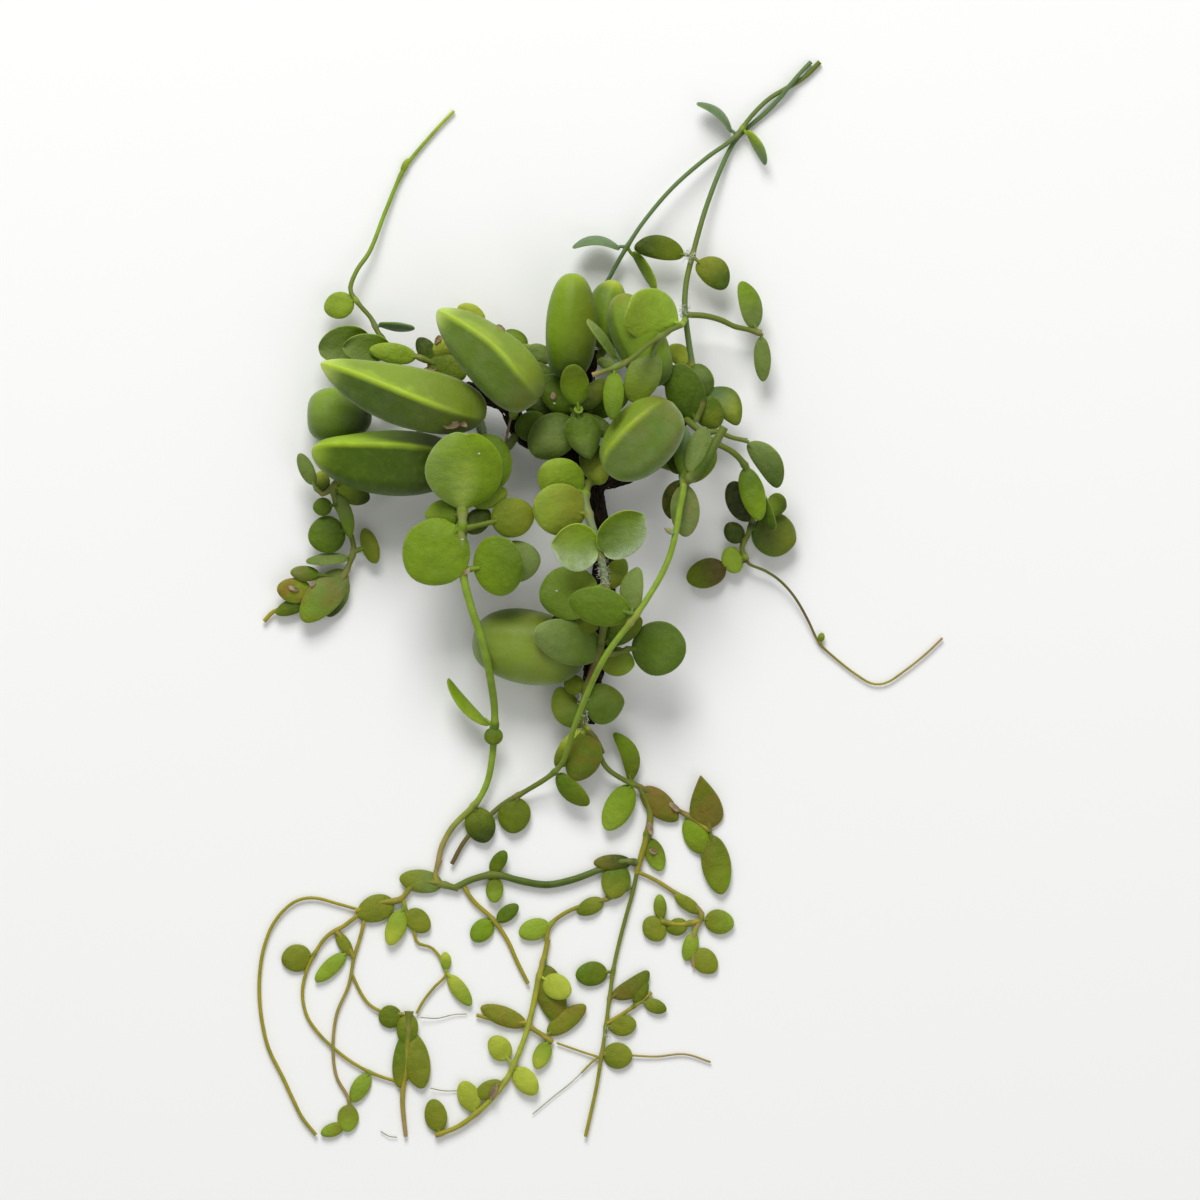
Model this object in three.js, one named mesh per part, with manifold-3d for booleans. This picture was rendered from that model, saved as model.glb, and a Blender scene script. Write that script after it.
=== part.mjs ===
// An ant plant, Dischidia vidalii, cut from its root ball and laid on a flat surface.
// Millimetres. +X is right, +Y runs to the twining tips, +Z is up off the surface.
// The origin is in the small flat underside of the old woody stem, which the plant rests on.
import * as THREE from 'three';
import { mergeVertices } from 'three/addons/utils/BufferGeometryUtils.js';
import Module from 'manifold-3d';

const wasm = await Module();
wasm.setup();

// Driving dimensions of the whole plant
const seatGap = 0.3; // clearance that a piece keeps to the piece it grows on
const weldDistance = 1e-4; // vertices closer than this are one
const stemStep = 11.2; // longest straight stretch of a bent stem
const stemSides = 5;
const thinStemSides = 4; // stems thinner than thinStem
const thinStem = 1.05;
const woodSides = 7;
const woodBlockSize = 400; // block that cuts the underside of the wood flat
const petioleRadius = 0.55; // leaf stalk, half its thickness
const leafBase = 0.5; // bluntness of a blade's stalk end, see bulge
const leafPlumpness = 0.3; // a blade keeps its thickness almost to its edge, see bulge
const leafThickness = 1.9; // a coin leaf is fleshy in the middle
const smallLeafThickness = 1.5; // leaves of the trailing stems
const smallLeafWidth = 9.3; // leaves no wider than this get the plainer mesh
const tinyLeafWidth = 6.2;
const tinyBladeRings = 3;
const smallBladeRings = 4;
const largeBladeRings = 5;
const longStalk = 1.2; // a leaf stalk longer than this keeps its thickness to the blade
const pitcherSides = 12; // one of them is the ridge
const pitcherRings = 8;
const pitcherRidge = 0.13; // how far a full ridge stands out of the round section
const ridgeFlats = 300; // degrees from a ridge to the middle of the flat beside it, over the ridge's rise

const up = new THREE.Vector3(0, 0, 1);

// ---- Solids ----------------------------------------------------------------------------------

function bareMesh(geometry) {
  geometry.deleteAttribute('normal');
  geometry.deleteAttribute('uv');
  return mergeVertices(geometry, weldDistance);
}

function toSolid(geometry) {
  return new wasm.Manifold(new wasm.Mesh({
    numProp: 3,
    vertProperties: Float32Array.from(geometry.attributes.position.array),
    triVerts: Uint32Array.from(geometry.index.array),
  }));
}

function join(solids) {
  return solids.reduce((whole, solid) => whole.add(solid));
}

// Cutting a piece clear of its neighbours can leave scraps. The body with the most triangles stays.
function largestBody({ triVerts, vertProperties }) {
  const leader = Array.from({ length: vertProperties.length / 3 }, (_, i) => i);
  const findLeader = (vertex) => {
    let top = vertex;
    while (leader[top] !== top) {
      leader[top] = leader[leader[top]];
      top = leader[top];
    }
    return top;
  };
  for (let i = 0; i < triVerts.length; i += 3) {
    leader[findLeader(triVerts[i + 1])] = findLeader(triVerts[i]);
    leader[findLeader(triVerts[i + 2])] = findLeader(triVerts[i]);
  }
  const bodies = new Map();
  for (let i = 0; i < triVerts.length; i += 3) {
    const top = findLeader(triVerts[i]);
    bodies.set(top, [...(bodies.get(top) ?? []), triVerts[i], triVerts[i + 1], triVerts[i + 2]]);
  }
  return [...bodies.values()].reduce((best, body) => (body.length > best.length ? body : best));
}

function toGeometry(solid) {
  const mesh = solid.getMesh();
  const geometry = new THREE.BufferGeometry();
  geometry.setAttribute('position', new THREE.BufferAttribute(mesh.vertProperties, 3));
  geometry.setIndex(largestBody(mesh));
  return mergeVertices(geometry, weldDistance);
}

// Moves every vertex of a unit geometry to where place(x, y, z) puts it.
function reshape(geometry, place) {
  const unit = bareMesh(geometry);
  const position = unit.attributes.position;
  for (let i = 0; i < position.count; i += 1) {
    const spot = place(position.getX(i), position.getY(i), position.getZ(i));
    position.setXYZ(i, spot.x, spot.y, spot.z);
  }
  return unit;
}

// ---- Stems: a cylinder bent along a curve -------------------------------------------------

// The value at a share of the way along values that stand at even steps.
function valueAlong(values, share) {
  const place = share * (values.length - 1);
  const index = Math.min(Math.floor(place), values.length - 2);
  return THREE.MathUtils.lerp(values[index], values[index + 1], place - index);
}

function curveThrough(path) {
  return new THREE.CatmullRomCurve3(path.map((point) => new THREE.Vector3(...point)));
}

// path: points along the stem. radii: even steps from its root to its end.
function stem(path, radii, sides = Math.max(...radii) < thinStem ? thinStemSides : stemSides) {
  return { path, radii, sides };
}

function stepsAlong(curve) {
  return Math.max(2, Math.round(curve.getLength() / stemStep));
}

function stemSolid(run, grow) {
  const curve = curveThrough(run.path);
  const steps = stepsAlong(curve);
  const { tangents, normals, binormals } = curve.computeFrenetFrames(steps, false);
  const unit = new THREE.CylinderGeometry(1, 1, 1, run.sides, steps);
  return toSolid(reshape(unit, (x, y, z) => {
    const share = y + 0.5;
    const index = Math.round(share * steps);
    const radius = valueAlong(run.radii, share) + grow;
    const reach = index === 0 ? -grow : (index === steps ? grow : 0);
    return curve.getPointAt(index / steps)
      .addScaledVector(binormals[index], x * radius)
      .addScaledVector(normals[index], z * radius)
      .addScaledVector(tangents[index], reach);
  }));
}

// ---- Leaves and pitchers: a sphere drawn out along an axis --------------------------------

// 1 at the widest place and 0 at both ends. Small powers give blunt ends, large ones pointed ends.
function bulge(share, rootPower, tipPower) {
  const widest = rootPower / (rootPower + tipPower);
  return (share / widest) ** rootPower * ((1 - share) / (1 - widest)) ** tipPower;
}

function frameAlong(axis, roll) {
  const side = new THREE.Vector3().crossVectors(axis, up).normalize();
  side.applyAxisAngle(axis, THREE.MathUtils.degToRad(roll));
  const face = new THREE.Vector3().crossVectors(side, axis);
  return { side, face };
}

// from: near the node that the leaf grows from. to: the leaf's tip. roll: degrees about that line.
// bow: how far the middle of the leaf bends to the left of that line.
function leaf(from, to, width, { roll = 0, stalk = 1.5, dome = 0.06, point = 0.55, bow = 0 } = {}) {
  return { from, to, width, roll, stalk, dome, point, bow };
}

// The place on the stems' centrelines that is closest to where the leaf grows from.
function nodeOn(stems, from) {
  const wanted = new THREE.Vector3(...from);
  const closest = new THREE.Vector3();
  const node = new THREE.Vector3();
  let shortest = Infinity;
  for (const run of stems) {
    const curve = curveThrough(run.path);
    const points = curve.getSpacedPoints(stepsAlong(curve));
    for (let i = 1; i < points.length; i += 1) {
      new THREE.Line3(points[i - 1], points[i]).closestPointToPoint(wanted, true, closest);
      const distance = closest.distanceTo(wanted);
      if (distance < shortest) {
        shortest = distance;
        node.copy(closest);
      }
    }
  }
  return node;
}

function leafSolid(shape, stems, grow) {
  const root = nodeOn(stems, shape.from);
  const axis = new THREE.Vector3(...shape.to).sub(root);
  const reach = axis.length() + grow;
  axis.normalize();
  const { side, face } = frameAlong(axis, shape.roll);
  const left = new THREE.Vector3().crossVectors(up, axis).normalize();
  const small = shape.width <= smallLeafWidth;
  const sides = small ? 4 : 6;
  const tiny = shape.width <= tinyLeafWidth;
  const bladeRings = tiny ? tinyBladeRings : (small ? smallBladeRings : largeBladeRings);
  const stalkRings = shape.stalk > longStalk ? 2 : 1;
  const rings = bladeRings + stalkRings;
  const halfThickness = (small ? smallLeafThickness : leafThickness) / 2;
  const blade = reach - shape.stalk;
  const unit = new THREE.SphereGeometry(1, sides, rings);
  return toSolid(reshape(unit, (x, y, z) => {
    const ring = rings - Math.round(Math.acos(THREE.MathUtils.clamp(y, -1, 1)) / Math.PI * rings);
    const around = Math.hypot(x, z) || 1;
    const onStalk = ring <= stalkRings;
    const share = onStalk ? 0 : (1 - Math.cos(Math.PI * (ring - stalkRings) / bladeRings)) / 2;
    const isPole = ring === 0 || ring === rings;
    const distance = onStalk ? (ring < 2 ? -grow : shape.stalk) : shape.stalk + blade * share;
    const wide = onStalk ? petioleRadius : shape.width / 2 * bulge(share, leafBase, shape.point);
    const thick = onStalk ? petioleRadius : halfThickness * bulge(share, leafPlumpness, leafPlumpness);
    const across = isPole ? 0 : x / around;
    const high = isPole ? 0 : z / around;
    const droop = onStalk ? 0 : shape.dome * shape.width * across ** 2;
    return root.clone()
      .addScaledVector(axis, distance)
      .addScaledVector(side, across * (wide + grow))
      .addScaledVector(face, high * (thick + grow) - droop)
      .addScaledVector(left, shape.bow * 4 * share * (1 - share));
  }));
}

// path runs from the stalk end to the tip. blunt shapes the stalk end, point the tip end. ridge: degrees
// from the top of the bag to its ridge, at even steps along it. rise: how far the ridge stands out.
function pitcher(path, width, depth, shape) {
  return { path, width, depth, ridge: [0, 0], rise: pitcherRidge, blunt: 0.4, point: 0.5, ...shape };
}

// Round section with a ridge where turn is 0, and a flat on each side of the ridge.
function sectionRadius(turn, rise) {
  const away = Math.abs(turn);
  const flatAt = THREE.MathUtils.degToRad(ridgeFlats * rise);
  const flat = (1 + rise) * Math.cos(flatAt) / Math.max(Math.cos(away - flatAt), Number.EPSILON);
  return away < flatAt ? flat : Math.min(1, flat);
}

function pitcherSolid(shape, grow) {
  const curve = curveThrough(shape.path);
  const unit = new THREE.SphereGeometry(1, pitcherSides, pitcherRings);
  return toSolid(reshape(unit, (x, y, z) => {
    const ring = pitcherRings
      - Math.round(Math.acos(THREE.MathUtils.clamp(y, -1, 1)) / Math.PI * pitcherRings);
    const share = (1 - Math.cos(Math.PI * ring / pitcherRings)) / 2;
    const inside = ring > 0 && ring < pitcherRings;
    const turn = Math.atan2(x, z);
    const angle = turn + THREE.MathUtils.degToRad(valueAlong(shape.ridge, share));
    const axis = curve.getTangentAt(share);
    const { side, face } = frameAlong(axis, 0);
    const full = inside ? bulge(share, shape.blunt, shape.point) * sectionRadius(turn, shape.rise) : 0;
    const endReach = inside ? 0 : (ring === 0 ? -grow : grow);
    return curve.getPointAt(share)
      .addScaledVector(side, Math.sin(angle) * (full * shape.width / 2 + grow * inside))
      .addScaledVector(face, Math.cos(angle) * (full * shape.depth / 2 + grow * inside))
      .addScaledVector(axis, endReach);
  }));
}

// ---- Finishes ------------------------------------------------------------------------------

function finish(color, roughness) {
  return new THREE.MeshStandardMaterial({ color, roughness, metalness: 0 });
}

const finishes = {
  wood: finish(0x2a241b, 0.9),
  pitcher: finish(0x6f8f2a, 0.5),
  darkPitcher: finish(0x55702e, 0.55),
  coinLeaf: finish(0x74962f, 0.5),
  shadedLeaf: finish(0x50703a, 0.55),
  twiner: finish(0x6a8552, 0.55),
  greenStem: finish(0x7fa033, 0.5),
  trailing: finish(0x7c8a30, 0.55),
};

// ---- The old woody stem ---------------------------------------------------------------------

const wood = [
  // trunk
  stem([[-3.6, -37, 5], [-2.6, -26, 5.2], [-0.4, -12, 4.4], [0.6, 0, 2.1], [1, 14, 4.8], [-0.8, 26, 7],
    [-1.4, 34, 8], [0, 37.5, 8.6]], [1.6, 2.4, 3, 4.2, 3.2, 2.7, 3, 3.6], woodSides),
  // branch to the upper left
  stem([[0, 36.5, 8.6], [-8, 41, 8.8], [-15, 46, 9], [-22, 49, 9], [-25.2, 53, 9], [-28, 59, 9],
    [-36, 62, 9], [-50, 64, 8.6], [-60, 68, 8]], [3.4, 3.4, 3, 2.6, 2.8, 2.6, 2.2], woodSides),
  // branch to the upper right
  stem([[-1, 36.5, 8.6], [8, 38.2, 9], [14, 42, 9], [20, 49.5, 9], [25, 57, 9], [27, 67, 9]],
    [3.6, 3.2, 3.4, 3, 2.2], woodSides),
  // short branch between them
  stem([[-5, 40, 8.8], [-5, 50, 9], [-5, 62, 9], [-3, 70, 8.4], [-2, 75, 7]], [3.4, 2.8, 2.6, 1.8],
    woodSides),
];

// ---- Pitchers ---------------------------------------------------------------------------------

const pitchers = {
  pitcher_upper_left: {
    body: pitcher([[-34, 56, 24], [-50, 58.8, 28.5], [-67, 63.4, 28.5], [-83.4, 70.6, 25]], 18.8, 16.6,
      { ridge: [-30, -16, -6, 2, 9, 14, 14, 8], blunt: 0.42, point: 0.68 }),
    stalk: stem([[-38, 57, 24], [-36, 53, 22], [-34.8, 48, 20.5], [-34, 42.5, 20.5]], [1.6, 1.3]),
    finish: finishes.pitcher,
    clearOf: ['stem_left_front'],
  },
  pitcher_middle_left: {
    body: pitcher([[-42.5, 41, 18], [-60, 41, 18.6], [-75, 42.1, 18.6], [-86.2, 45, 17.4]], 20, 18,
      { ridge: [22, 27, 30, 32, 33, 27], blunt: 0.36, point: 0.52 }),
    stalk: stem([[-46, 40.5, 19], [-42.5, 38, 22], [-39, 35.5, 27]], [1.6, 1.3]),
    finish: finishes.pitcher,
    clearOf: ['stem_left_front'],
  },
  pitcher_upper_centre: {
    body: pitcher([[-19.8, 58.6, 28], [-29, 69, 31], [-38.6, 77.8, 31.5], [-48.4, 86.4, 29]], 18.8, 17.6,
      { ridge: [10, 13, 13, 17, 20, 17, 12, 5], blunt: 0.32, point: 0.6 }),
    stalk: stem([[-24, 62, 26], [-25.5, 58, 18], [-26, 54.5, 9]], [1.7, 1.5]),
    finish: finishes.pitcher,
    clearOf: ['woody_core'],
  },
  pitcher_top: {
    body: pitcher([[-10, 66.5, 20], [-8.8, 76, 22], [-8.4, 86, 23], [-8.3, 97.6, 22.5]], 15.6, 14,
      { ridge: [-20, 10], rise: 0.03, blunt: 0.3, point: 0.4 }),
    stalk: stem([[-9.8, 70, 20], [-7, 66, 14], [-5, 63, 9]], [1.6, 1.3]),
    finish: finishes.pitcher,
    clearOf: ['woody_core'],
  },
  pitcher_right: {
    body: pitcher([[22.8, 57.2, 31], [15.8, 51.4, 32.5], [8.2, 43.9, 32.5], [1.8, 38.4, 31]], 20.6, 18,
      { ridge: [30, 29, 27, 28, 29, 30, 24], blunt: 0.38, point: 0.42 }),
    stalk: stem([[18.5, 51, 29], [20, 50.5, 18], [20, 49.5, 9]], [1.7, 1.5]),
    finish: finishes.pitcher,
    clearOf: ['woody_core'],
  },
  pitcher_lower_left: {
    body: pitcher([[-4.6, -18, 11], [-15, -15.4, 11.2], [-27, -13.2, 11.2], [-38.2, -11.8, 11]], 22.6, 21,
      { ridge: [25, 20], rise: 0.04, blunt: 0.42, point: 0.4 }),
    stalk: stem([[-8, -17, 10], [-4, -16.8, 8], [1, -16.5, 5]], [1.6, 1.4]),
    finish: finishes.darkPitcher,
    clearOf: ['woody_core'],
  },
  pitcher_back_left: {
    body: pitcher([[-68.6, 56.6, 7.8], [-74, 55.8, 8], [-81, 55.4, 8], [-87.8, 55.4, 7.8]], 16.8, 14,
      { rise: 0.03, blunt: 0.4, point: 0.3 }),
    stalk: stem([[-71, 56.5, 9], [-66, 60, 9], [-61, 63.5, 8.6], [-56, 65.4, 8.4]], [1.5, 1.3]),
    finish: finishes.darkPitcher,
    clearOf: ['woody_core'],
  },
  pitcher_back_top: {
    body: pitcher([[2.2, 75, 9.6], [1.8, 82, 10], [2.4, 89, 10], [4.8, 95.8, 10]], 12.6, 11,
      { rise: 0.06, blunt: 0.4, point: 0.48 }),
    stalk: stem([[2.8, 78, 9], [0, 73.5, 8], [-3.4, 70, 8.4]], [1.4, 1.2]),
    finish: finishes.darkPitcher,
    clearOf: ['woody_core'],
  },
  pitcher_back_right: {
    body: pitcher([[18.4, 64.6, 16.6], [13, 75, 20.5], [9, 83, 21.5], [5.8, 91.4, 21]], 15.4, 13,
      { ridge: [-30, -38], rise: 0.08, blunt: 0.4, point: 0.45 }),
    stalk: stem([[16, 68, 17], [20, 65.2, 12], [26, 63.5, 9]], [1.5, 1.3]),
    finish: finishes.darkPitcher,
    clearOf: ['woody_core'],
  },
};

// ---- Leafy stems ----------------------------------------------------------------------------

const leafyStems = {
  // hangs from the upper left branch, carries the two largest coin leaves
  stem_left_front: {
    stems: [
      stem([[-24.5, 50.5, 9], [-28, 45.5, 14], [-33, 42.4, 20], [-38, 38, 26], [-40.8, 31, 28.5],
        [-41, 24, 28.5], [-40.9, 8.3, 25.4], [-38.8, -1, 24.6],
        [-36.2, -9, 23], [-34.2, -16, 20.4], [-32.7, -24, 15.4], [-31.6, -33, 9],
        [-31.8, -40, 6], [-32.4, -47.5, 4.4], [-33.8, -54.5, 3.2], [-36.8, -60.5, 2.6],
        [-44.4, -68.4, 1.6], [-47.6, -74.3, 1.3], [-49, -80.5, 1.3]], [1.5, 1.4, 1.35, 1.2, 1]),
    ],
    leaves: [
      leaf([-40.6, 26.4, 31], [-39.6, 49.8, 37.5], 24.2, { stalk: 0.4 }),
      leaf([-41, 23, 28.5], [-56.4, 6.6, 28], 21.4, { stalk: 1.2 }),
      leaf([-41, 26, 28], [-52.5, 25.5, 21.5], 9.6),
      leaf([-40.9, 20, 28], [-32.8, 26.8, 24], 7.4),
      leaf([-40.8, 8.8, 25], [-23.2, 11.4, 29.6], 19, { stalk: 3, point: 0.5 }),
      leaf([-40.9, 9.5, 25], [-17.6, 12.6, 24], 13.2, { stalk: 9 }),
      leaf([-41, 20.5, 28.5], [-19.4, 26.2, 25.6], 12.6, { stalk: 9 }),
      leaf([-40.6, 31, 28], [-30.2, 49, 26.4], 18.8, { stalk: 0.6 }),
      leaf([-32.4, -38.4, 6.2], [-45.2, -23, 8.6], 6.4, { roll: 58, bow: 2 }),
      leaf([-31.6, -37.4, 6.8], [-32.2, -43.6, 8.2], 6, { stalk: 1 }),
      leaf([-38, -62, 2.4], [-34.2, -73, 2.4], 9.6, { stalk: 0.6 }),
      leaf([-41, 27.5, 27.6], [-27.4, 32.6, 24], 7, { stalk: 3 }),
    ],
    finish: finishes.coinLeaf,
    clearOf: ['woody_core'],
  },

  // rises from the fork and comes down the middle with its coin leaves
  stem_centre: {
    stems: [
      stem([[0, 36, 9], [-3.4, 35, 17], [-4.4, 30, 23.5], [-2.4, 22, 26.4], [0, 14, 26], [1.5, 5, 24],
        [1.5, -5, 22], [0, -14, 19], [-2.6, -22, 15.6], [-5, -30, 12.6], [-5, -37, 10.4],
        [-1.4, -41.5, 8.6], [0.8, -46, 6.6]], [1.6, 1.4, 1.3, 1.2, 1.1, 0.9]),
      stem([[0, -15, 18.6], [3.6, -16.2, 17.6], [8.6, -14.6, 17.2]], [0.8, 0.8]),
    ],
    leaves: [
      leaf([-4.4, 31, 22.5], [-17.6, 39.6, 27.4], 14, { stalk: 1 }),
      leaf([-3.4, 26, 25.4], [-19.8, 28.6, 30.4], 16.4, { stalk: 0.6 }),
      leaf([0, 14.4, 26.4], [-15.2, 16.6, 34], 15, { stalk: 1 }),
      leaf([0.6, 13, 26], [13.6, 25.8, 33], 14, { stalk: 1.5 }),
      leaf([1.4, 4.6, 24], [-18.2, 0.6, 24.6], 16.8, { stalk: 2 }),
      leaf([1.6, 3.4, 23.6], [7.4, 12.4, 23], 7, { stalk: 1 }),
      leaf([1.8, -17.6, 17.6], [-19.4, -9.4, 26.8], 14, { stalk: 1 }),
      leaf([8, -14.8, 17.4], [25.8, -14.2, 20], 17.2, { stalk: 0.6 }),
      leaf([0.4, -17, 17.6], [10.6, -19.6, 13], 9.3, { stalk: 1 }),
      leaf([-5, -38.4, 10], [-13, -26.2, 8], 9.2, { stalk: 0.8, bow: 1.4 }),
      leaf([-5, -32.6, 11.4], [7.4, -30, 13], 13.2, { stalk: 0.6, point: 0.7 }),
      leaf([-3.4, -38, 9], [-7.6, -54.6, 7.6], 11.4, { stalk: 0.5, bow: 1.2 }),
      leaf([-5, -38.6, 9.8], [-13.4, -50.4, 6], 7, { stalk: 1 }),
      leaf([1.2, -7.4, 21.4], [-15, -6.6, 21.6], 8.8, { stalk: 1 }),
      leaf([0.8, -13, 19.4], [12.6, -5.4, 19.4], 8, { stalk: 1 }),
      leaf([-3.6, -26, 14.2], [-11, -25.4, 11.4], 6.2, { stalk: 1 }),
    ],
    finish: finishes.coinLeaf,
    clearOf: ['woody_core', 'pitcher_lower_left'],
  },

  // long stem in front of the others, with a cut stub at its top
  stem_front: {
    stems: [
      stem([[14, 42, 9], [20, 40, 17], [24.6, 37.6, 27], [24.8, 33, 31], [23.7, 27, 31.4], [22.6, 20.4, 31],
        [20.7, 13, 31], [17.8, 6.6, 31.4], [11.4, -3.6, 32], [2.2, -15.8, 29.4], [-3.4, -27, 22],
        [-7.7, -38, 15], [-11.1, -48.5, 9.6], [-14.6, -52.4, 6.6], [-22.3, -57.4, 3.2],
        [-29.2, -61.4, 1.8], [-35.4, -67, 1.4], [-40.4, -72, 1.3], [-44.6, -79.4, 1.2]],
      [1.3, 1.2, 1.1, 1.1, 1, 0.9, 0.8]),
      stem([[24.8, 35, 29.6], [28.9, 37.8, 31.2], [32.2, 42, 31.8], [34.3, 46.6, 31.6], [37, 51.4, 31]],
        [1.4, 1.3]),
    ],
    leaves: [
      leaf([11.4, -4.4, 32.4], [-9.4, 0.2, 31.6], 12, { stalk: 2 }),
      leaf([10, -6.4, 31.6], [11, 10, 30], 7.8, { roll: -20, stalk: 3, bow: 1 }),
      leaf([24.8, 36.4, 30], [25.6, 18.6, 27.4], 9.2, { stalk: 1 }),
      leaf([24.8, 36.8, 29], [20.8, 24, 23.4], 8.8, { stalk: 1 }),
      leaf([24.4, 35.6, 26], [20.8, 45, 23], 6.2, { stalk: 1 }),
      leaf([25.4, 36.6, 29], [24.8, 52.4, 24.6], 6.2, { stalk: 1 }),
      leaf([27, 37.6, 30], [31.4, 52, 26], 7.6, { stalk: 1 }),
      leaf([25.6, 34.6, 29.4], [34.6, 45, 25], 8, { stalk: 1 }),
      leaf([-14, -51.6, 6.8], [-3.4, -61.8, 5.6], 6.8, { roll: 20, stalk: 1, bow: -0.6 }),
      leaf([-24.4, -58.4, 2.8], [-26.8, -70.2, 2.6], 10.4, { stalk: 0.6 }),
    ],
    finish: finishes.greenStem,
    clearOf: ['woody_core', 'pitcher_right', 'stem_centre', 'stem_left_front'],
  },

  // droops to the right and ends in a long thin tendril
  stem_right: {
    stems: [
      stem([[25, 57, 9], [26.4, 53.6, 16], [28.6, 51.6, 19.4], [32, 48.6, 20], [35.6, 46.4, 19.4],
        [39.4, 44.4, 18], [43, 40.8, 15.6], [46, 34, 12], [46.2, 26, 9], [44.6, 20, 6.6],
        [42.6, 15.6, 5], [44, 12, 4]], [1.3, 1.1, 1, 0.8]),
      stem([[31, 49.4, 20], [34.6, 50.4, 19.4], [39.4, 48.6, 18.6], [44, 47.6, 18]], [1.1, 0.8, 0.7]),
      stem([[43.4, 13.2, 4], [44.6, 11, 4], [49.6, 8.8, 3.6], [53.6, 6.2, 3.2], [57, 2.8, 2.8],
        [59.6, -0.8, 2.4], [62.6, -6.2, 1.8], [66, -13, 1.1], [70.6, -17.4, 0.8], [77, -22.4, 0.8],
        [82, -25.2, 0.8], [86, -24.9, 0.8], [92, -21, 0.8], [98, -16.2, 0.8], [103, -11.4, 0.8]],
      [0.65, 0.55, 0.5, 0.5]),
    ],
    leaves: [
      leaf([43.6, 47.8, 18], [53.4, 33.4, 17], 8.6, { roll: 18, stalk: 0.6, bow: 1.8 }),
      leaf([44.4, 41, 14.6], [47.8, 23.8, 17], 7.8, { stalk: 0.6 }),
      leaf([45.4, 22, 8.6], [39.2, 35.4, 11], 9, { stalk: 0.6 }),
      leaf([46.4, 34, 12], [52, 20.8, 13.6], 6, { roll: 40, stalk: 1 }),
      leaf([46.6, 30.6, 10.4], [56, 27.6, 9], 7.4, { stalk: 4 }),
      leaf([45.2, 21.6, 7.6], [59, 17.4, 5.4], 13.8, { stalk: 0.6 }),
      leaf([43, 16.8, 5.6], [38, 23, 6], 6.4, { stalk: 0.6 }),
      leaf([44, 14, 4.6], [36.6, 11, 4.4], 8.8, { stalk: 0.6 }),
      leaf([43.6, 12, 4.2], [26, 6, 4.4], 9.2, { stalk: 6.4 }),
      leaf([66.2, -13.6, 1.3], [66.8, -9.8, 1.8], 2.2, { stalk: 0.6 }),
    ],
    finish: finishes.shadedLeaf,
    clearOf: ['woody_core', 'stem_front', 'pitcher_right'],
  },

  // droops behind the middle left pitcher
  stem_left: {
    stems: [
      stem([[-46, 63.4, 8.6], [-51, 55, 6.4], [-58, 46, 5], [-68, 39, 5.6], [-76, 36.6, 7.6],
        [-80, 34.4, 8], [-79.4, 30, 7.6], [-77.2, 24.4, 6.4], [-75, 20, 5.4], [-74, 15.4, 4.6],
        [-75.4, 10.6, 4], [-78, 6, 3.4], [-84, 1.6, 2.8], [-92, -2, 2], [-98, -3.4, 1.4],
        [-101, -6.4, 1]], [1.1, 1, 1, 0.9, 0.8, 0.7]),
      stem([[-80, 34.2, 8], [-83, 31.8, 8], [-85.4, 33.6, 8.4]], [0.9, 0.7]),
    ],
    leaves: [
      leaf([-85.2, 33.4, 8.4], [-90.2, 44, 10], 4.8, { stalk: 1 }),
      leaf([-83.4, 32, 8.2], [-84, 38.8, 7.4], 5.6, { stalk: 0.6 }),
      leaf([-78.6, 28.4, 7.4], [-86.2, 27.6, 7.6], 5.8, { stalk: 1.4 }),
      leaf([-79.4, 34, 8], [-69, 30.2, 6], 7.4, { stalk: 1 }),
      leaf([-75.6, 21.4, 5.6], [-87.6, 18.2, 6.4], 11.8, { stalk: 1 }),
      leaf([-79.8, 32, 7.8], [-75.2, 18.6, 9], 5.2, { roll: 24, stalk: 0.6, bow: 1.2 }),
      leaf([-74.2, 14.8, 4.6], [-66.6, 17, 5], 11.6, { stalk: 2.6 }),
      leaf([-74.8, 12.6, 4.4], [-88.4, 12, 6], 5.8, { roll: 52, stalk: 1 }),
      leaf([-77.4, 7.2, 3.8], [-93, 8.4, 5.6], 5, { stalk: 7 }),
      leaf([-84.4, 1.4, 3.2], [-97, 3.6, 5.4], 8, { stalk: 2.6 }),
      leaf([-76.8, 9, 4], [-89.4, -6.4, 5.6], 10.8, { stalk: 0.6 }),
      leaf([-77, 8, 3.4], [-82, -5.2, 2.4], 7.6, { stalk: 0.6 }),
      leaf([-86.4, 0.4, 3], [-97.6, -4, 3], 5, { stalk: 2 }),
    ],
    finish: finishes.shadedLeaf,
    clearOf: ['woody_core', 'pitcher_back_left', 'pitcher_middle_left'],
  },

  // short sprig in the middle of the crown
  crown_sprig_left: {
    stems: [
      stem([[-5, 53, 9], [-6.6, 54.6, 16], [-7, 55.4, 21], [-6.4, 57, 25]], [1.4, 1.2]),
    ],
    leaves: [
      leaf([-6.8, 55, 16], [-17, 67, 16], 10.4, { stalk: 2 }),
      leaf([-7, 55.6, 25], [-8.4, 70, 30.8], 9.2, { stalk: 1 }),
      leaf([-6.8, 54, 15], [-25.6, 51, 15], 9.6, { stalk: 9 }),
      leaf([-7, 53, 20], [-20.4, 43.6, 21], 13.8, { stalk: 1.5, dome: 0.14 }),
      leaf([-5.6, 56.4, 24], [-3, 42, 24], 11.4, { stalk: 0.6, point: 0.8 }),
      leaf([-5.4, 56.4, 21], [1.6, 66, 19], 6.6, { stalk: 2 }),
      leaf([-6, 53.6, 14], [0.6, 34.6, 18.4], 9, { stalk: 7 }),
      leaf([-6.8, 54.4, 14], [-21.4, 71.4, 11], 9.2, { stalk: 3 }),
      leaf([-6.6, 53.4, 12.6], [-23, 59, 11], 8, { stalk: 3 }),
      leaf([-6, 54, 15], [9, 63.6, 14.6], 9.3, { stalk: 3 }),
      leaf([-6, 55, 18], [4, 49.4, 20], 6.2, { stalk: 1 }),
    ],
    finish: finishes.shadedLeaf,
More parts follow.
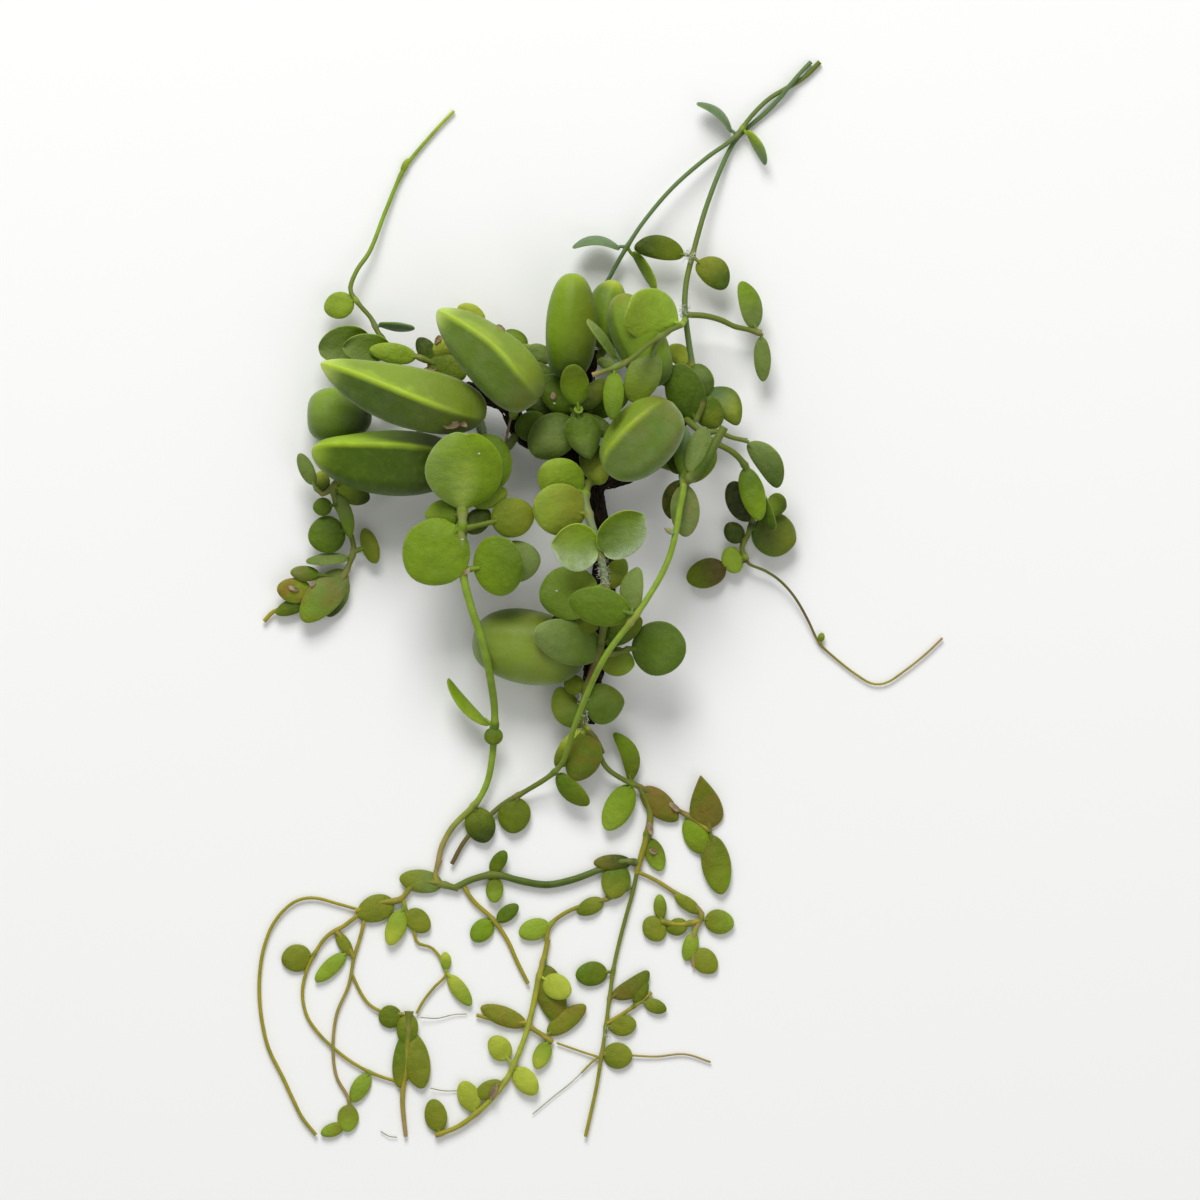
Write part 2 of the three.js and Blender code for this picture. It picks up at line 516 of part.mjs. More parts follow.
    clearOf: ['woody_core', 'pitcher_top', 'pitcher_upper_centre', 'stem_centre', 'pitcher_right'],
  },

  // short sprig on the right of the crown
  crown_sprig_right: {
    stems: [
      stem([[26.6, 65, 9], [29, 62.6, 14], [30.6, 59, 15.6], [28.6, 53.4, 15.4]], [1.2, 1]),
    ],
    leaves: [
      leaf([28.4, 53, 15.6], [22.6, 70.6, 18.6], 12.4, { stalk: 0.6 }),
      leaf([30.4, 60, 15.4], [29, 71, 13], 9.2, { stalk: 0.6 }),
      leaf([30.2, 61, 15], [35.4, 51.4, 13.6], 9.3, { stalk: 0.6 }),
      leaf([30, 62, 15], [42, 52.6, 11], 9.2, { stalk: 1, bow: 2.8 }),
    ],
    finish: finishes.shadedLeaf,
    clearOf: ['woody_core', 'pitcher_back_right', 'pitcher_right', 'stem_right', 'stem_front'],
  },

  // sprig behind the upper centre pitcher
  crown_sprig_back: {
    stems: [
      stem([[-5, 61, 9], [-11, 69, 7], [-18, 74, 6], [-28, 78.6, 5.4], [-34, 82, 5.4]], [1.1, 1, 0.8]),
    ],
    leaves: [
      leaf([-34, 81, 5.4], [-42.6, 88.2, 6.6], 7.2, { stalk: 1 }),
      leaf([-22, 75, 5.6], [-29, 80.4, 6.4], 6.2, { stalk: 0.6 }),
      leaf([-14, 71, 6], [-21.6, 76, 7], 6, { stalk: 0.6 }),
    ],
    finish: finishes.shadedLeaf,
    clearOf: ['woody_core', 'crown_sprig_left', 'pitcher_top'],
  },

  // long runner at the upper left, its base hidden by a rosette of leaves
  runner_upper_left: {
    stems: [
      stem([[-44, 63, 8.8], [-47, 69, 12], [-54, 72.6, 13], [-62, 75.4, 11.4], [-66.4, 80, 9],
        [-68.6, 84.4, 8.4], [-72.5, 89, 7.6], [-74.9, 93, 6.6], [-73.2, 98.6, 5.4],
        [-69.2, 104.7, 4], [-64.5, 116.8, 2.2], [-59.4, 128.8, 1.2], [-57, 132.4, 1],
        [-49, 141.8, 0.8], [-43.9, 147.1, 0.8]],
      [1, 0.9, 0.85, 0.75, 0.7, 0.55]),
    ],
    leaves: [
      leaf([-73.4, 89.6, 7.6], [-82.8, 87, 7.4], 8.6, { stalk: 0.6 }),
      leaf([-67.6, 82.6, 8.8], [-55.5, 81, 10.6], 6.4, { roll: 70, stalk: 1 }),
      leaf([-67, 77.8, 9.4], [-84.4, 74.8, 8], 12, { stalk: 3 }),
      leaf([-62, 75.6, 11.6], [-77.2, 75.6, 13], 9.3, { stalk: 1 }),
      leaf([-54, 72.6, 13], [-69, 75, 15.6], 6.6, { stalk: 1 }),
      leaf([-49, 70.6, 12.4], [-54.6, 78.6, 12], 6, { stalk: 0.6 }),
      leaf([-47, 69, 12], [-47.6, 78.8, 13.4], 6.4, { stalk: 1 }),
      leaf([-54, 70, 12.8], [-40, 67, 13.6], 8.8, { stalk: 1 }),
      leaf([-60, 128.4, 1.3], [-57.6, 132.8, 1.6], 2.2, { stalk: 0.6 }),
    ],
    finish: finishes.shadedLeaf,
    clearOf: ['woody_core', 'pitcher_upper_left', 'pitcher_upper_centre', 'crown_sprig_back'],
  },

  // two stems that climb round each other at the upper right
  twining_stems: {
    stems: [
      stem([[-3, 71, 8.4], [-1.4, 80, 3], [0, 88, 2], [1, 93, 2.4], [4, 99, 4], [8.2, 106.2, 6],
        [13, 113.4, 6.4], [21.7, 123.7, 6], [32, 132.8, 4.4], [40.4, 139, 3.2], [46, 146, 2.6],
        [51, 150.8, 1.8], [56.6, 154.2, 1], [61.4, 157.2, 0.9], [66.1, 161.8, 0.9]],
      [0.8, 0.7, 0.7, 0.75, 0.8]),
      stem([[26.6, 66, 9], [27.4, 71, 12], [26.6, 77, 12.6], [25.6, 85, 12.4], [25.4, 90, 11.6],
        [26, 96, 10], [27.8, 103.6, 8], [31.5, 116.8, 5], [35.8, 128.4, 3], [40.2, 137.4, 1.4],
        [44, 141.6, 1], [49.6, 146.4, 1], [53.6, 150.4, 1.8], [56.8, 154.4, 2.6], [60.4, 158.6, 1.8],
        [63.4, 161.8, 1]], [1, 0.95, 0.85, 0.75, 0.75]),
      // side branch
      stem([[25.6, 85.4, 12.4], [31, 85.2, 12], [36, 84, 11], [40.4, 82, 10], [44, 81.2, 9],
        [48.4, 80, 8.4]], [1.1, 0.9]),
    ],
    leaves: [
      leaf([7.8, 105.6, 6], [-8.4, 106.2, 7.6], 8, { roll: 68, stalk: 2, bow: -2.2 }),
      leaf([8.4, 105.6, 6], [16.2, 92.4, 6], 6.4, { roll: 62, stalk: 2, bow: 1 }),
      leaf([27.4, 103, 8.2], [10.2, 105.8, 10.4], 7.6, { stalk: 2.4, bow: -1.2 }),
      leaf([27.6, 103, 8], [38, 93.6, 8.8], 9.2, { stalk: 2.2, bow: 1 }),
      leaf([41.4, 140.4, 3.4], [29.2, 149.6, 5.4], 6.4, { roll: 68, stalk: 1.6, bow: -1.8 }),
      leaf([44.4, 141.6, 2.6], [49.4, 130.4, 4], 5.6, { roll: 62, stalk: 1.2, bow: 1 }),
      leaf([47.4, 80.4, 8.6], [42.6, 95.8, 9], 7.6, { roll: 20, stalk: 1, bow: -0.6 }),
      leaf([48, 80, 8.4], [49, 65.4, 7], 5.4, { stalk: 1 }),
      leaf([27, 70.5, 12], [20.6, 76, 13], 6.4, { stalk: 0.6 }),
    ],
    finish: finishes.twiner,
    clearOf: ['woody_core', 'pitcher_back_top', 'pitcher_back_right', 'crown_sprig_right',
      'pitcher_top', 'crown_sprig_back'],
  },

  // cut sprig in front of the crown
  front_sprig: {
    stems: [
      stem([[25.6, 84.6, 12.4], [24.6, 82.6, 18], [20.4, 80.2, 24], [14, 75.8, 31], [9, 71.5, 35],
        [4, 69, 37], [-2.3, 66.8, 37.6]], [1, 0.95, 0.95]),
    ],
    leaves: [
      leaf([24.8, 82.6, 18.6], [8.6, 87, 33], 16.8, { stalk: 0.3, point: 0.4 }),
      leaf([18, 77.6, 27], [9.4, 58.8, 25], 10.8, { stalk: 4.6 }),
      leaf([4, 69, 37], [3.8, 53.4, 40.4], 6.4, { stalk: 1 }),
      leaf([6, 70.2, 36], [-3.4, 83.8, 35.6], 6, { roll: 62, stalk: 2 }),
      leaf([5.2, 70, 36.6], [-0.8, 71, 38], 3.6, { stalk: 1 }),
    ],
    finish: finishes.coinLeaf,
    clearOf: ['twining_stems', 'pitcher_back_right', 'pitcher_right', 'crown_sprig_right'],
  },

  // ---- trailing stems that lie on the surface below ----

  trail_right: {
    stems: [
      stem([[-0.6, -45.4, 7], [2, -50.4, 5], [6.8, -53.8, 3.6], [12, -56.2, 2.4], [16, -58.6, 1.6],
        [21, -62, 1.2], [26, -64.6, 1.2], [33, -69.4, 1.4]], [0.9, 0.9, 0.8]),
      stem([[12, -56.2, 2.4], [15, -63.6, 1.5], [14.4, -70, 1.5], [12.4, -77, 1.4], [11, -82.4, 1.1]],
        [0.9, 1.3, 0.9]),
    ],
    leaves: [
      leaf([10.4, -54.6, 3.4], [4.2, -39.8, 5.2], 5.8, { stalk: 0.6, bow: -2.4 }),
      leaf([9.2, -55.4, 3], [1.8, -69.2, 3.6], 9, { stalk: 0.6 }),
      leaf([11.6, -57, 2], [23.4, -66.4, 1.6], 8, { stalk: 0.6 }),
      leaf([33.6, -70.4, 1.8], [30.2, -52.6, 4.4], 11, { stalk: 0.4, point: 1.1 }),
      leaf([26, -65, 1.6], [31.4, -76.4, 1.6], 8, { stalk: 0.6 }),
      leaf([33, -70, 1.8], [36.6, -88.6, 2.6], 9.3, { stalk: 1.2 }),
      leaf([14.6, -70, 1.4], [18.4, -81.6, 1.6], 6.2, { stalk: 1.2 }),
    ],
    finish: finishes.trailing,
    clearOf: ['stem_centre'],
  },

  trail_far_right: {
    stems: [
      stem([[11.2, -81.6, 1.2], [17, -84.4, 0.9], [22, -87.6, 0.9], [28, -91.4, 1], [30.6, -94.8, 1.2],
        [28.6, -99.4, 1.2], [27.8, -105, 1], [28.2, -110.4, 0.9]], [0.7, 0.9, 0.8]),
      stem([[29.8, -96.6, 1.2], [24, -97.6, 1.3], [18.4, -96.6, 1.3]], [1, 0.9]),
    ],
    leaves: [
      leaf([19.6, -96.4, 1.3], [13.2, -100.6, 1.6], 8.6, { stalk: 0.4 }),
      leaf([19, -96.4, 1.3], [17.8, -88.4, 1.8], 4.2, { stalk: 0.6 }),
      leaf([26.6, -97.2, 1.3], [20, -99.2, 1.4], 5.6, { stalk: 0.6 }),
      leaf([30, -94.4, 1.2], [22.4, -88.6, 2], 4.2, { stalk: 0.6 }),
      leaf([30.4, -95.4, 1.3], [40.3, -97.6, 2], 7.8, { stalk: 1 }),
      leaf([28.2, -99.8, 1.3], [25.8, -108.6, 1.4], 5, { stalk: 0.6 }),
      leaf([28, -104.4, 1.2], [34.8, -111.8, 1.6], 7.6, { stalk: 0.8 }),
    ],
    finish: finishes.trailing,
    clearOf: ['trail_right'],
  },

  trail_bottom_right: {
    stems: [
      stem([[11.4, -80.4, 1.2], [9.8, -88, 1], [8.4, -93, 1], [6, -102, 1], [4.2, -110, 1],
        [2.8, -120, 1], [1.5, -130, 1], [0.3, -138, 1], [-1, -146, 1], [-4.4, -161.4, 1]],
      [0.9, 0.85, 0.8, 0.75]),
      stem([[2, -127.4, 1], [6.6, -124.6, 1], [11, -121.6, 1], [15.6, -118, 0.9]], [0.8, 0.6]),
      stem([[0.6, -136, 1], [9, -136.9, 0.8], [17, -137.3, 0.6], [25.6, -136.6, 0.6],
        [33.3, -139, 0.6]], [0.6, 0.5, 0.5]),
      stem([[0.2, -137.6, 1], [-5, -136, 0.7], [-13, -133.2, 0.7]], [0.6, 0.5]),
      stem([[0.4, -137, 1], [-2, -138.6, 0.8], [-5.6, -142.2, 0.6]], [0.6, 0.5]),
    ],
    leaves: [
      leaf([3.6, -111.6, 1.2], [-7.4, -113, 2], 7.8, { stalk: 1.6 }),
      leaf([3.2, -119.4, 1.2], [14.8, -111.6, 2], 6, { stalk: 1, bow: -1.2 }),
      leaf([9.6, -122.4, 1.2], [14.2, -114.6, 1.8], 4, { stalk: 0.6 }),
      leaf([12.6, -120.8, 1.2], [20, -123.4, 1.6], 4.6, { stalk: 1 }),
      leaf([1.6, -129, 1.2], [11, -127.4, 1.6], 7, { stalk: 0.8 }),
      leaf([0.4, -136.6, 1.2], [9.8, -137.4, 1.8], 8.4, { stalk: 0.4 }),
    ],
    finish: finishes.trailing,
    clearOf: ['trail_right', 'trail_far_right'],
  },

  trail_arc: {
    stems: [
      stem([[-43.4, -86.4, 1.2], [-38.4, -84, 1.3], [-31.4, -82.6, 1.3], [-24, -84.4, 1.3],
        [-16, -85.6, 1.3], [-8, -84, 1.3], [0, -81, 1.2], [6.4, -78.6, 1.1], [11.6, -79, 1.2]],
        [1, 1.1, 0.9]),
      stem([[-41.4, -85.6, 1], [-38, -90.6, 1], [-32.6, -95.6, 1], [-28, -102, 0.9],
        [-25, -108.6, 0.9], [-21.6, -115.4, 0.9]], [0.9, 0.8, 0.7]),
      stem([[9.4, -86.2, 1], [3, -89.6, 1], [-5, -91.8, 1], [-11, -94.4, 1], [-15, -97.8, 1],
        [-16.2, -102.6, 1.1]], [0.8, 0.8]),
    ],
    leaves: [
      leaf([-32.4, -83.4, 1.4], [-28.4, -75.4, 3], 4.8, { stalk: 0.6 }),
      leaf([-32, -82.6, 1.4], [-31.8, -91, 2.6], 5.6, { stalk: 0.8 }),
      leaf([6.6, -79, 1.4], [3.4, -89.8, 2.8], 9.2, { stalk: 0.4 }),
      leaf([10.6, -78.8, 1.4], [-2, -79, 2.4], 5.2, { stalk: 0.6 }),
      leaf([1.4, -90, 1.2], [-7, -94, 1.6], 5.4, { stalk: 0.8 }),
      leaf([-32.4, -96, 1.2], [-38.4, -102.4, 1.8], 6.8, { stalk: 0.6 }),
      leaf([-14.6, -97.4, 1.2], [-24.4, -100.6, 2], 6.8, { stalk: 0.6 }),
      leaf([-31, -97, 1.2], [-24.6, -91.6, 2], 4.8, { stalk: 0.6 }),
    ],
    finish: finishes.trailing,
    clearOf: ['trail_right', 'trail_bottom_right'],
  },

  trail_bottom_middle: {
    stems: [
      stem([[-15.6, -102, 1.2], [-17, -108.5, 1.3], [-18.5, -114, 1.3], [-20.3, -122.9, 1.3],
        [-22.5, -131, 1.3], [-25, -137.5, 1.3], [-27.8, -143.6, 1.3], [-33, -150.4, 1.3],
        [-38, -155, 1.2], [-43, -158.5, 1.2], [-49.6, -161, 1.2]], [1, 1.1, 1, 1, 0.9]),
      stem([[-21.4, -127, 1.3], [-28, -127, 1], [-37.2, -124.8, 1]], [0.8, 0.7]),
      stem([[-21.6, -128, 1.3], [-17, -131, 1.2], [-14.2, -133, 1]], [0.9, 0.8]),
    ],
    leaves: [
      leaf([-26.4, -140.4, 1.4], [-32.8, -131.4, 2.6], 7.2, { stalk: 2.4 }),
      leaf([-37.6, -154.4, 1.6], [-41.4, -144.6, 2.4], 7, { stalk: 0.6 }),
      leaf([-48.8, -160.6, 1.4], [-50.4, -150, 2.4], 7.2, { stalk: 0.6 }),
      leaf([-28.6, -144.6, 1.4], [-37.4, -149.4, 1.8], 6, { stalk: 0.4 }),
      leaf([-26.4, -140.6, 1.6], [-19.2, -148.6, 2.6], 7, { stalk: 0.8 }),
      leaf([-15.6, -132, 1.4], [-19.2, -141, 2], 5.6, { stalk: 0.6 }),
      leaf([-18.2, -112.6, 1.6], [-9, -118.6, 5], 8, { stalk: 1.4 }),
      leaf([-17, -108.6, 1.4], [-12.4, -127.6, 1.8], 9.2, { stalk: 0.8 }),
      leaf([-22, -127.6, 1.3], [-36, -122.4, 2], 6.2, { stalk: 0.6 }),
      leaf([-16.6, -130, 1.3], [-4.2, -121.8, 1.8], 6.4, { stalk: 1 }),
    ],
    finish: finishes.trailing,
    clearOf: ['trail_arc', 'trail_bottom_right'],
  },

  // cluster where the left trailing stems start
  trail_cluster_left: {
    stems: [
      stem([[-42.6, -86.8, 1.2], [-50, -85, 1.3], [-56, -85.6, 1.3], [-60, -90, 1.2], [-66, -91, 1.1],
        [-73.6, -93.6, 1]], [1.1, 1, 0.9]),
      stem([[-59.4, -89, 1.3], [-58.4, -93.4, 1.1], [-56, -99, 1], [-55, -103, 0.9], [-50.6, -104.6, 0.8],
        [-47.4, -108.6, 0.9], [-46.2, -112.4, 0.9], [-50, -116.6, 0.8], [-53.4, -121, 0.8],
        [-55.2, -124.4, 0.8]], [0.8, 0.6, 0.6]),
      stem([[-48, -78, 1.3], [-49.6, -83, 1.3], [-48.4, -86, 1.2]], [0.9, 0.9]),
    ],
    leaves: [
      leaf([-46.4, -86.6, 1.4], [-60.4, -83.6, 2], 7.4, { stalk: 0.6 }),
      leaf([-61.6, -91, 1.4], [-73, -95, 1.8], 8.6, { stalk: 0.6 }),
      leaf([-59.4, -92, 1.4], [-63.4, -103.8, 2.6], 6.4, { stalk: 1.4 }),
      leaf([-57.8, -93.6, 1.4], [-51.4, -99.4, 1.8], 7.2, { stalk: 0.6 }),
      leaf([-46.8, -111.6, 1.1], [-46.6, -105.8, 1.6], 3.6, { stalk: 0.6 }),
      leaf([-46.4, -112.4, 1.1], [-38.8, -122, 1.8], 5, { stalk: 1 }),
    ],
    finish: finishes.trailing,
    clearOf: ['trail_arc', 'stem_left_front', 'stem_front'],
  },

  trail_outer_left: {
    stems: [
      stem([[-73, -93, 1], [-79, -91.3, 0.9], [-85.9, -89.6, 0.9], [-90.6, -90.2, 0.9],
        [-94.6, -92.8, 0.9], [-98.6, -98, 0.9], [-101.2, -105, 0.9], [-102.3, -112, 0.9],
        [-102.4, -120, 0.9], [-101.4, -128, 0.9], [-99.6, -135, 0.9], [-95.3, -143.7, 0.9],
        [-92.4, -150, 0.9], [-89.6, -155.6, 0.9], [-85.4, -160.9, 0.9]], [0.6, 0.75, 0.75]),
    ],
    leaves: [],
    finish: finishes.trailing,
    clearOf: ['trail_cluster_left'],
  },

  trail_inner_left: {
    stems: [
      stem([[-72.6, -94.6, 1], [-77, -98, 0.9], [-82, -101, 0.9], [-85.4, -105.6, 0.9],
        [-88.4, -112, 0.8], [-89.5, -118.6, 0.8], [-88, -125.4, 0.8], [-84, -131, 0.8],
        [-80, -134.8, 0.8], [-74.6, -139, 0.8], [-68, -142.5, 0.8], [-60, -145.2, 0.9]],
      [0.8, 0.65, 0.6, 0.6]),
      stem([[-70.6, -95, 1], [-72, -101, 0.9], [-74, -107.6, 0.9], [-75.5, -115.6, 0.8],
        [-79.2, -124.6, 0.8], [-80.3, -135, 0.8], [-79.2, -143.4, 0.8], [-75.4, -150.8, 0.8],
        [-76.6, -158, 0.8]], [0.7, 0.6, 0.6]),
      stem([[-79.4, -99.6, 0.9], [-76.4, -103.4, 0.9], [-74, -107.6, 0.9]], [0.9, 0.9]),
      stem([[-74.8, -112, 0.9], [-72, -118, 0.8], [-69.4, -121.6, 0.8], [-66, -123.6, 0.9],
        [-59, -124.6, 1]], [0.6, 0.6]),
      stem([[-57.4, -123.6, 1.5], [-57.8, -132, 1.5], [-58.6, -142, 1.4], [-59.4, -150, 0.9],
        [-58.4, -161.4, 0.8]], [1.3, 1, 0.7]),
    ],
    leaves: [
      leaf([-85.8, -107, 1], [-95.8, -108.6, 1.6], 8.8, { stalk: 0.8 }),
      leaf([-79.4, -100, 1], [-74.6, -107, 1.4], 4, { stalk: 0.4 }),
      leaf([-76.4, -105, 1.1], [-85.6, -114.8, 1.6], 5.2, { stalk: 1.6 }),
      leaf([-69.2, -141.6, 1], [-74.6, -151, 1.4], 5.6, { stalk: 0.6 }),
      leaf([-75.4, -151, 1], [-76.2, -160, 1.4], 6.8, { stalk: 0.6 }),
      leaf([-76.6, -157.8, 1], [-84, -160.6, 1.4], 4.4, { stalk: 0.4 }),
      leaf([-58.6, -124.4, 1.2], [-66.6, -126, 1.6], 7.4, { stalk: 0.6 }),
      leaf([-57.6, -124, 1.3], [-58.4, -134, 1.8], 6.8, { stalk: 0.6 }),
      leaf([-58, -129.6, 1.5], [-60.4, -146.8, 1.8], 6.8, { stalk: 0.4 }),
      leaf([-57.6, -129, 1.5], [-53.4, -147, 2.2], 9, { stalk: 0.4 }),
    ],
    finish: finishes.trailing,
    clearOf: ['trail_cluster_left', 'trail_outer_left'],
  },
};

// ---- Building -------------------------------------------------------------------------------

const recipes = {
  woody_core: {
    solids: (grow) => {
      const whole = join(wood.map((run) => stemSolid(run, grow)));
      const block = new THREE.BoxGeometry(woodBlockSize, woodBlockSize, woodBlockSize);
      block.translate(0, 0, -woodBlockSize / 2 - grow);
      return whole.subtract(toSolid(bareMesh(block)));
    },
    finish: finishes.wood,
    clearOf: [],
  },
};

for (const [name, { stems, leaves, finish: look, clearOf }] of Object.entries(leafyStems)) {
  recipes[name] = {
    solids: (grow) => join([
      ...stems.map((run) => stemSolid(run, grow)),
      ...leaves.map((shape) => leafSolid(shape, stems, grow)),
    ]),
    finish: look,
    clearOf,
  };
}

for (const [name, { body, stalk, finish: look, clearOf }] of Object.entries(pitchers)) {
  recipes[name] = {
    solids: (grow) => join([pitcherSolid(body, grow), stemSolid(stalk, grow)]),
    finish: look,
    clearOf,
  };
}

// A piece keeps seatGap to each neighbour that it grows on or lies against.
function buildPiece({ solids, clearOf }) {
  return clearOf.reduce(
    (solid, neighbour) => solid.subtract(recipes[neighbour].solids(seatGap)),
    solids(0),
  );
}

const plant = new THREE.Group();
for (const [name, recipe] of Object.entries(recipes)) {
  const mesh = new THREE.Mesh(toGeometry(buildPiece(recipe)), recipe.finish);
  mesh.name = name;
  plant.add(mesh);
}

export default plant;
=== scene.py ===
# An ant plant, Dischidia vidalii, cut from its root ball and laid on a pale surface.
# Lengths in the dictionaries are millimetres, +Y runs to the twining tips, +Z is up off the surface.
import math
import random

import bpy
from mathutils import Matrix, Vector, bvhtree, kdtree, noise


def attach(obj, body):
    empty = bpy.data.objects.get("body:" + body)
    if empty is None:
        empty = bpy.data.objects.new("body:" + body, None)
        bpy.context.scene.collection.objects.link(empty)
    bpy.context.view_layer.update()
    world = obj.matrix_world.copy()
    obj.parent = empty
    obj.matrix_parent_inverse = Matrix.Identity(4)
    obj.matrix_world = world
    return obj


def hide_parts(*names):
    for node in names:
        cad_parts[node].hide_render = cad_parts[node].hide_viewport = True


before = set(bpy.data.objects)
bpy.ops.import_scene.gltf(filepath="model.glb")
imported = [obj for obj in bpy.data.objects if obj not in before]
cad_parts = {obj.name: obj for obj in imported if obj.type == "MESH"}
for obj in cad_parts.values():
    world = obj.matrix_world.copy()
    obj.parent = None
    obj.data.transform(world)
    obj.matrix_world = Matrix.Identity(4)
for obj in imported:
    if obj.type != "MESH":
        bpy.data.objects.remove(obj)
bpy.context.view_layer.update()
mm = 0.001
up = Vector((0, 0, 1))

# Colours as they look on a screen, 0 to 255: leaves, pitchers, stems, then dry matter
tones = {
    # the darker leaf tones, shade and black most of all, carry painted shade for leaves and pitcher roots
    # lying under others
    "leaf": (114, 142, 18), "fresh": (134, 158, 44), "lime": (168, 180, 58), "deep": (86, 111, 10),
    "moss": (64, 86, 2), "shade": (52, 66, 6), "grey": (110, 128, 62), "blue": (98, 123, 84),
    "olive": (96, 111, 10), "khaki": (122, 130, 32), "bronze": (112, 106, 36), "plum": (76, 66, 28),
    "black": (36, 43, 14), "bloom": (178, 192, 162), "flush": (134, 92, 40),
    # ridge is the painted highlight along a pitcher's ridge; lit is painted light, for a pitcher's lit side
    # and a brightly lit leaf
    "ridge": (165, 192, 42), "rim": (184, 204, 92), "plane": (120, 142, 38), "lit": (152, 186, 46),
    "apple": (132, 160, 44), "twig": (96, 110, 34), "gold": (156, 144, 34), "tan": (158, 134, 84),
    "brown": (96, 76, 42), "dusk": (92, 118, 72), "pale": (134, 150, 108),
    # wood, bark and fibre are near black: the old wood's own dark colour and painted shade under the crown
    "wood": (30, 25, 19), "bark": (50, 41, 31), "fibre": (70, 56, 42), "wool": (206, 204, 194),
    "driedPale": (186, 168, 142), "driedBrown": (142, 120, 92),
}


def tone(name, shade=1.0):
    return tuple(shade * (v / 255) ** 2.2 for v in tones[name]) + (1.0,)


# Small helpers

def makeActive(*pieces):
    bpy.ops.object.select_all(action="DESELECT")
    for piece in pieces:
        piece.select_set(True)
    bpy.context.view_layer.objects.active = pieces[0]


def applyModifier(piece, kind, **settings):
    makeActive(piece)
    modifier = piece.modifiers.new(kind.lower(), kind)
    for name, value in settings.items():
        setattr(modifier, name, value)
    bpy.ops.object.modifier_apply(modifier=modifier.name)


def joinPieces(parts, name):
    makeActive(*parts)
    bpy.ops.object.join()
    parts[0].name = parts[0].data.name = name
    return parts[0]


def makeMaster(form):  # a ball that each leaf is shaped from
    bpy.ops.mesh.primitive_uv_sphere_add(segments=form["segments"], ring_count=form["rings"], radius=1)
    return bpy.context.object


def copyMaster(master, name):
    piece = bpy.data.objects.new(name, master.data.copy())
    bpy.context.collection.objects.link(piece)
    return piece


built = []  # finished pieces, for laying small scraps on them


def finishPiece(piece, material, node):
    piece.data.materials.clear()
    piece.data.materials.append(material)
    makeActive(piece)
    bpy.ops.object.shade_smooth()
    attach(piece, "root")
    if node:
        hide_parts(node)
    built.append(piece)
    return piece


def paint(mesh, name, values):  # a number for each vertex, or one number for all
    if isinstance(values, (int, float)):
        values = [values] * len(mesh.vertices)
    mesh.attributes.new(name, "FLOAT", "POINT").data.foreach_set("value", values)


def paintTone(mesh, colours):
    layer = mesh.color_attributes.new("skinTone", "FLOAT_COLOR", "POINT")
    layer.data.foreach_set("color", [channel for colour in colours for channel in colour])


def roundOff(piece):
    applyModifier(piece, "SUBSURF", levels=1, render_levels=1)
    return piece


powderAndSheen = {"least": 0.45, "gain": 2.0, "slopes": (0.3, 0.95)}  # slopes: 0 is level and 1 upright


def frostAndSheenSides(piece):  # more powder on the flanks than on the top: real wax powder, and a painted sheen at the edges seen from above
    for vertex, spot in zip(piece.data.vertices, piece.data.attributes["bloom"].data):
        slope = smoothStep(1 - abs(vertex.normal.z), *powderAndSheen["slopes"])
        spot.value *= powderAndSheen["least"] + powderAndSheen["gain"] * slope
    return piece


def blendTones(first, second, share):
    return tuple(a + (b - a) * share for a, b in zip(first, second))


def smoothStep(value, low, high):
    share = min(max((value - low) / (high - low), 0.0), 1.0)
    return share * share * (3 - 2 * share)


# A path is a curve through a few points, cut into even steps
splineSamples = 20


def between(p0, p1, p2, p3, t):
    gap0, gap1, gap2 = [max(span.length ** 0.5, 1e-4) for span in (p1 - p0, p2 - p1, p3 - p2)]
    leave = ((p1 - p0) / gap0 - (p2 - p0) / (gap0 + gap1)) * gap1 + (p2 - p1)
    arrive = ((p3 - p2) / gap2 - (p3 - p1) / (gap1 + gap2)) * gap1 + (p2 - p1)
    bend = 3 * (p2 - p1) - 2 * leave - arrive
    twist = 2 * (p1 - p2) + leave + arrive
    return p1 + leave * t + bend * t ** 2 + twist * t ** 3


def smoothPath(points, step):
    knots = [Vector(point) for point in points]
    knots = [2 * knots[0] - knots[1]] + knots + [2 * knots[-1] - knots[-2]]
    fine = []
    for i in range(1, len(knots) - 2):
        fine += [between(*knots[i - 1:i + 3], k / splineSamples) for k in range(splineSamples)]
    fine.append(knots[-2].copy())
    lengths = [0.0]
    for start, end in zip(fine, fine[1:]):
        lengths.append(lengths[-1] + (end - start).length)
    steps = max(2, round(lengths[-1] / step))
    even = []
    i = 0
    for k in range(steps + 1):
        wanted = lengths[-1] * k / steps
        while i < len(fine) - 2 and lengths[i + 1] < wanted:
            i += 1
        share = (wanted - lengths[i]) / max(lengths[i + 1] - lengths[i], 1e-9)
        even.append(fine[i].lerp(fine[i + 1], share))
    return even


def placeOn(path, share):  # the last point passed, and the place itself
    last = len(path) - 1
    i = min(int(share * last), last - 1)
    return i, path[i].lerp(path[i + 1], share * last - i)


def along(values, share):
    place = share * (len(values) - 1)
    i = min(int(place), len(values) - 2)
    return values[i] + (values[i + 1] - values[i]) * (place - i)


def bulge(share, rootPower, tipPower):  # 1 at the widest place and 0 at both ends
    widest = rootPower / (rootPower + tipPower)
    return (share / widest) ** rootPower * ((1 - share) / (1 - widest)) ** tipPower


def frameAlong(axis, roll=0.0):
    side = axis.cross(up).normalized()
    turned = side * math.cos(roll) + axis.cross(side) * math.sin(roll)
    return turned, turned.cross(axis)


# Materials

def fill(tree, node, inputs):
    for name, value in inputs.items():
        if isinstance(value, bpy.types.NodeSocket):
            tree.links.new(value, node.inputs[name])
        else:
            node.inputs[name].default_value = value
    return node


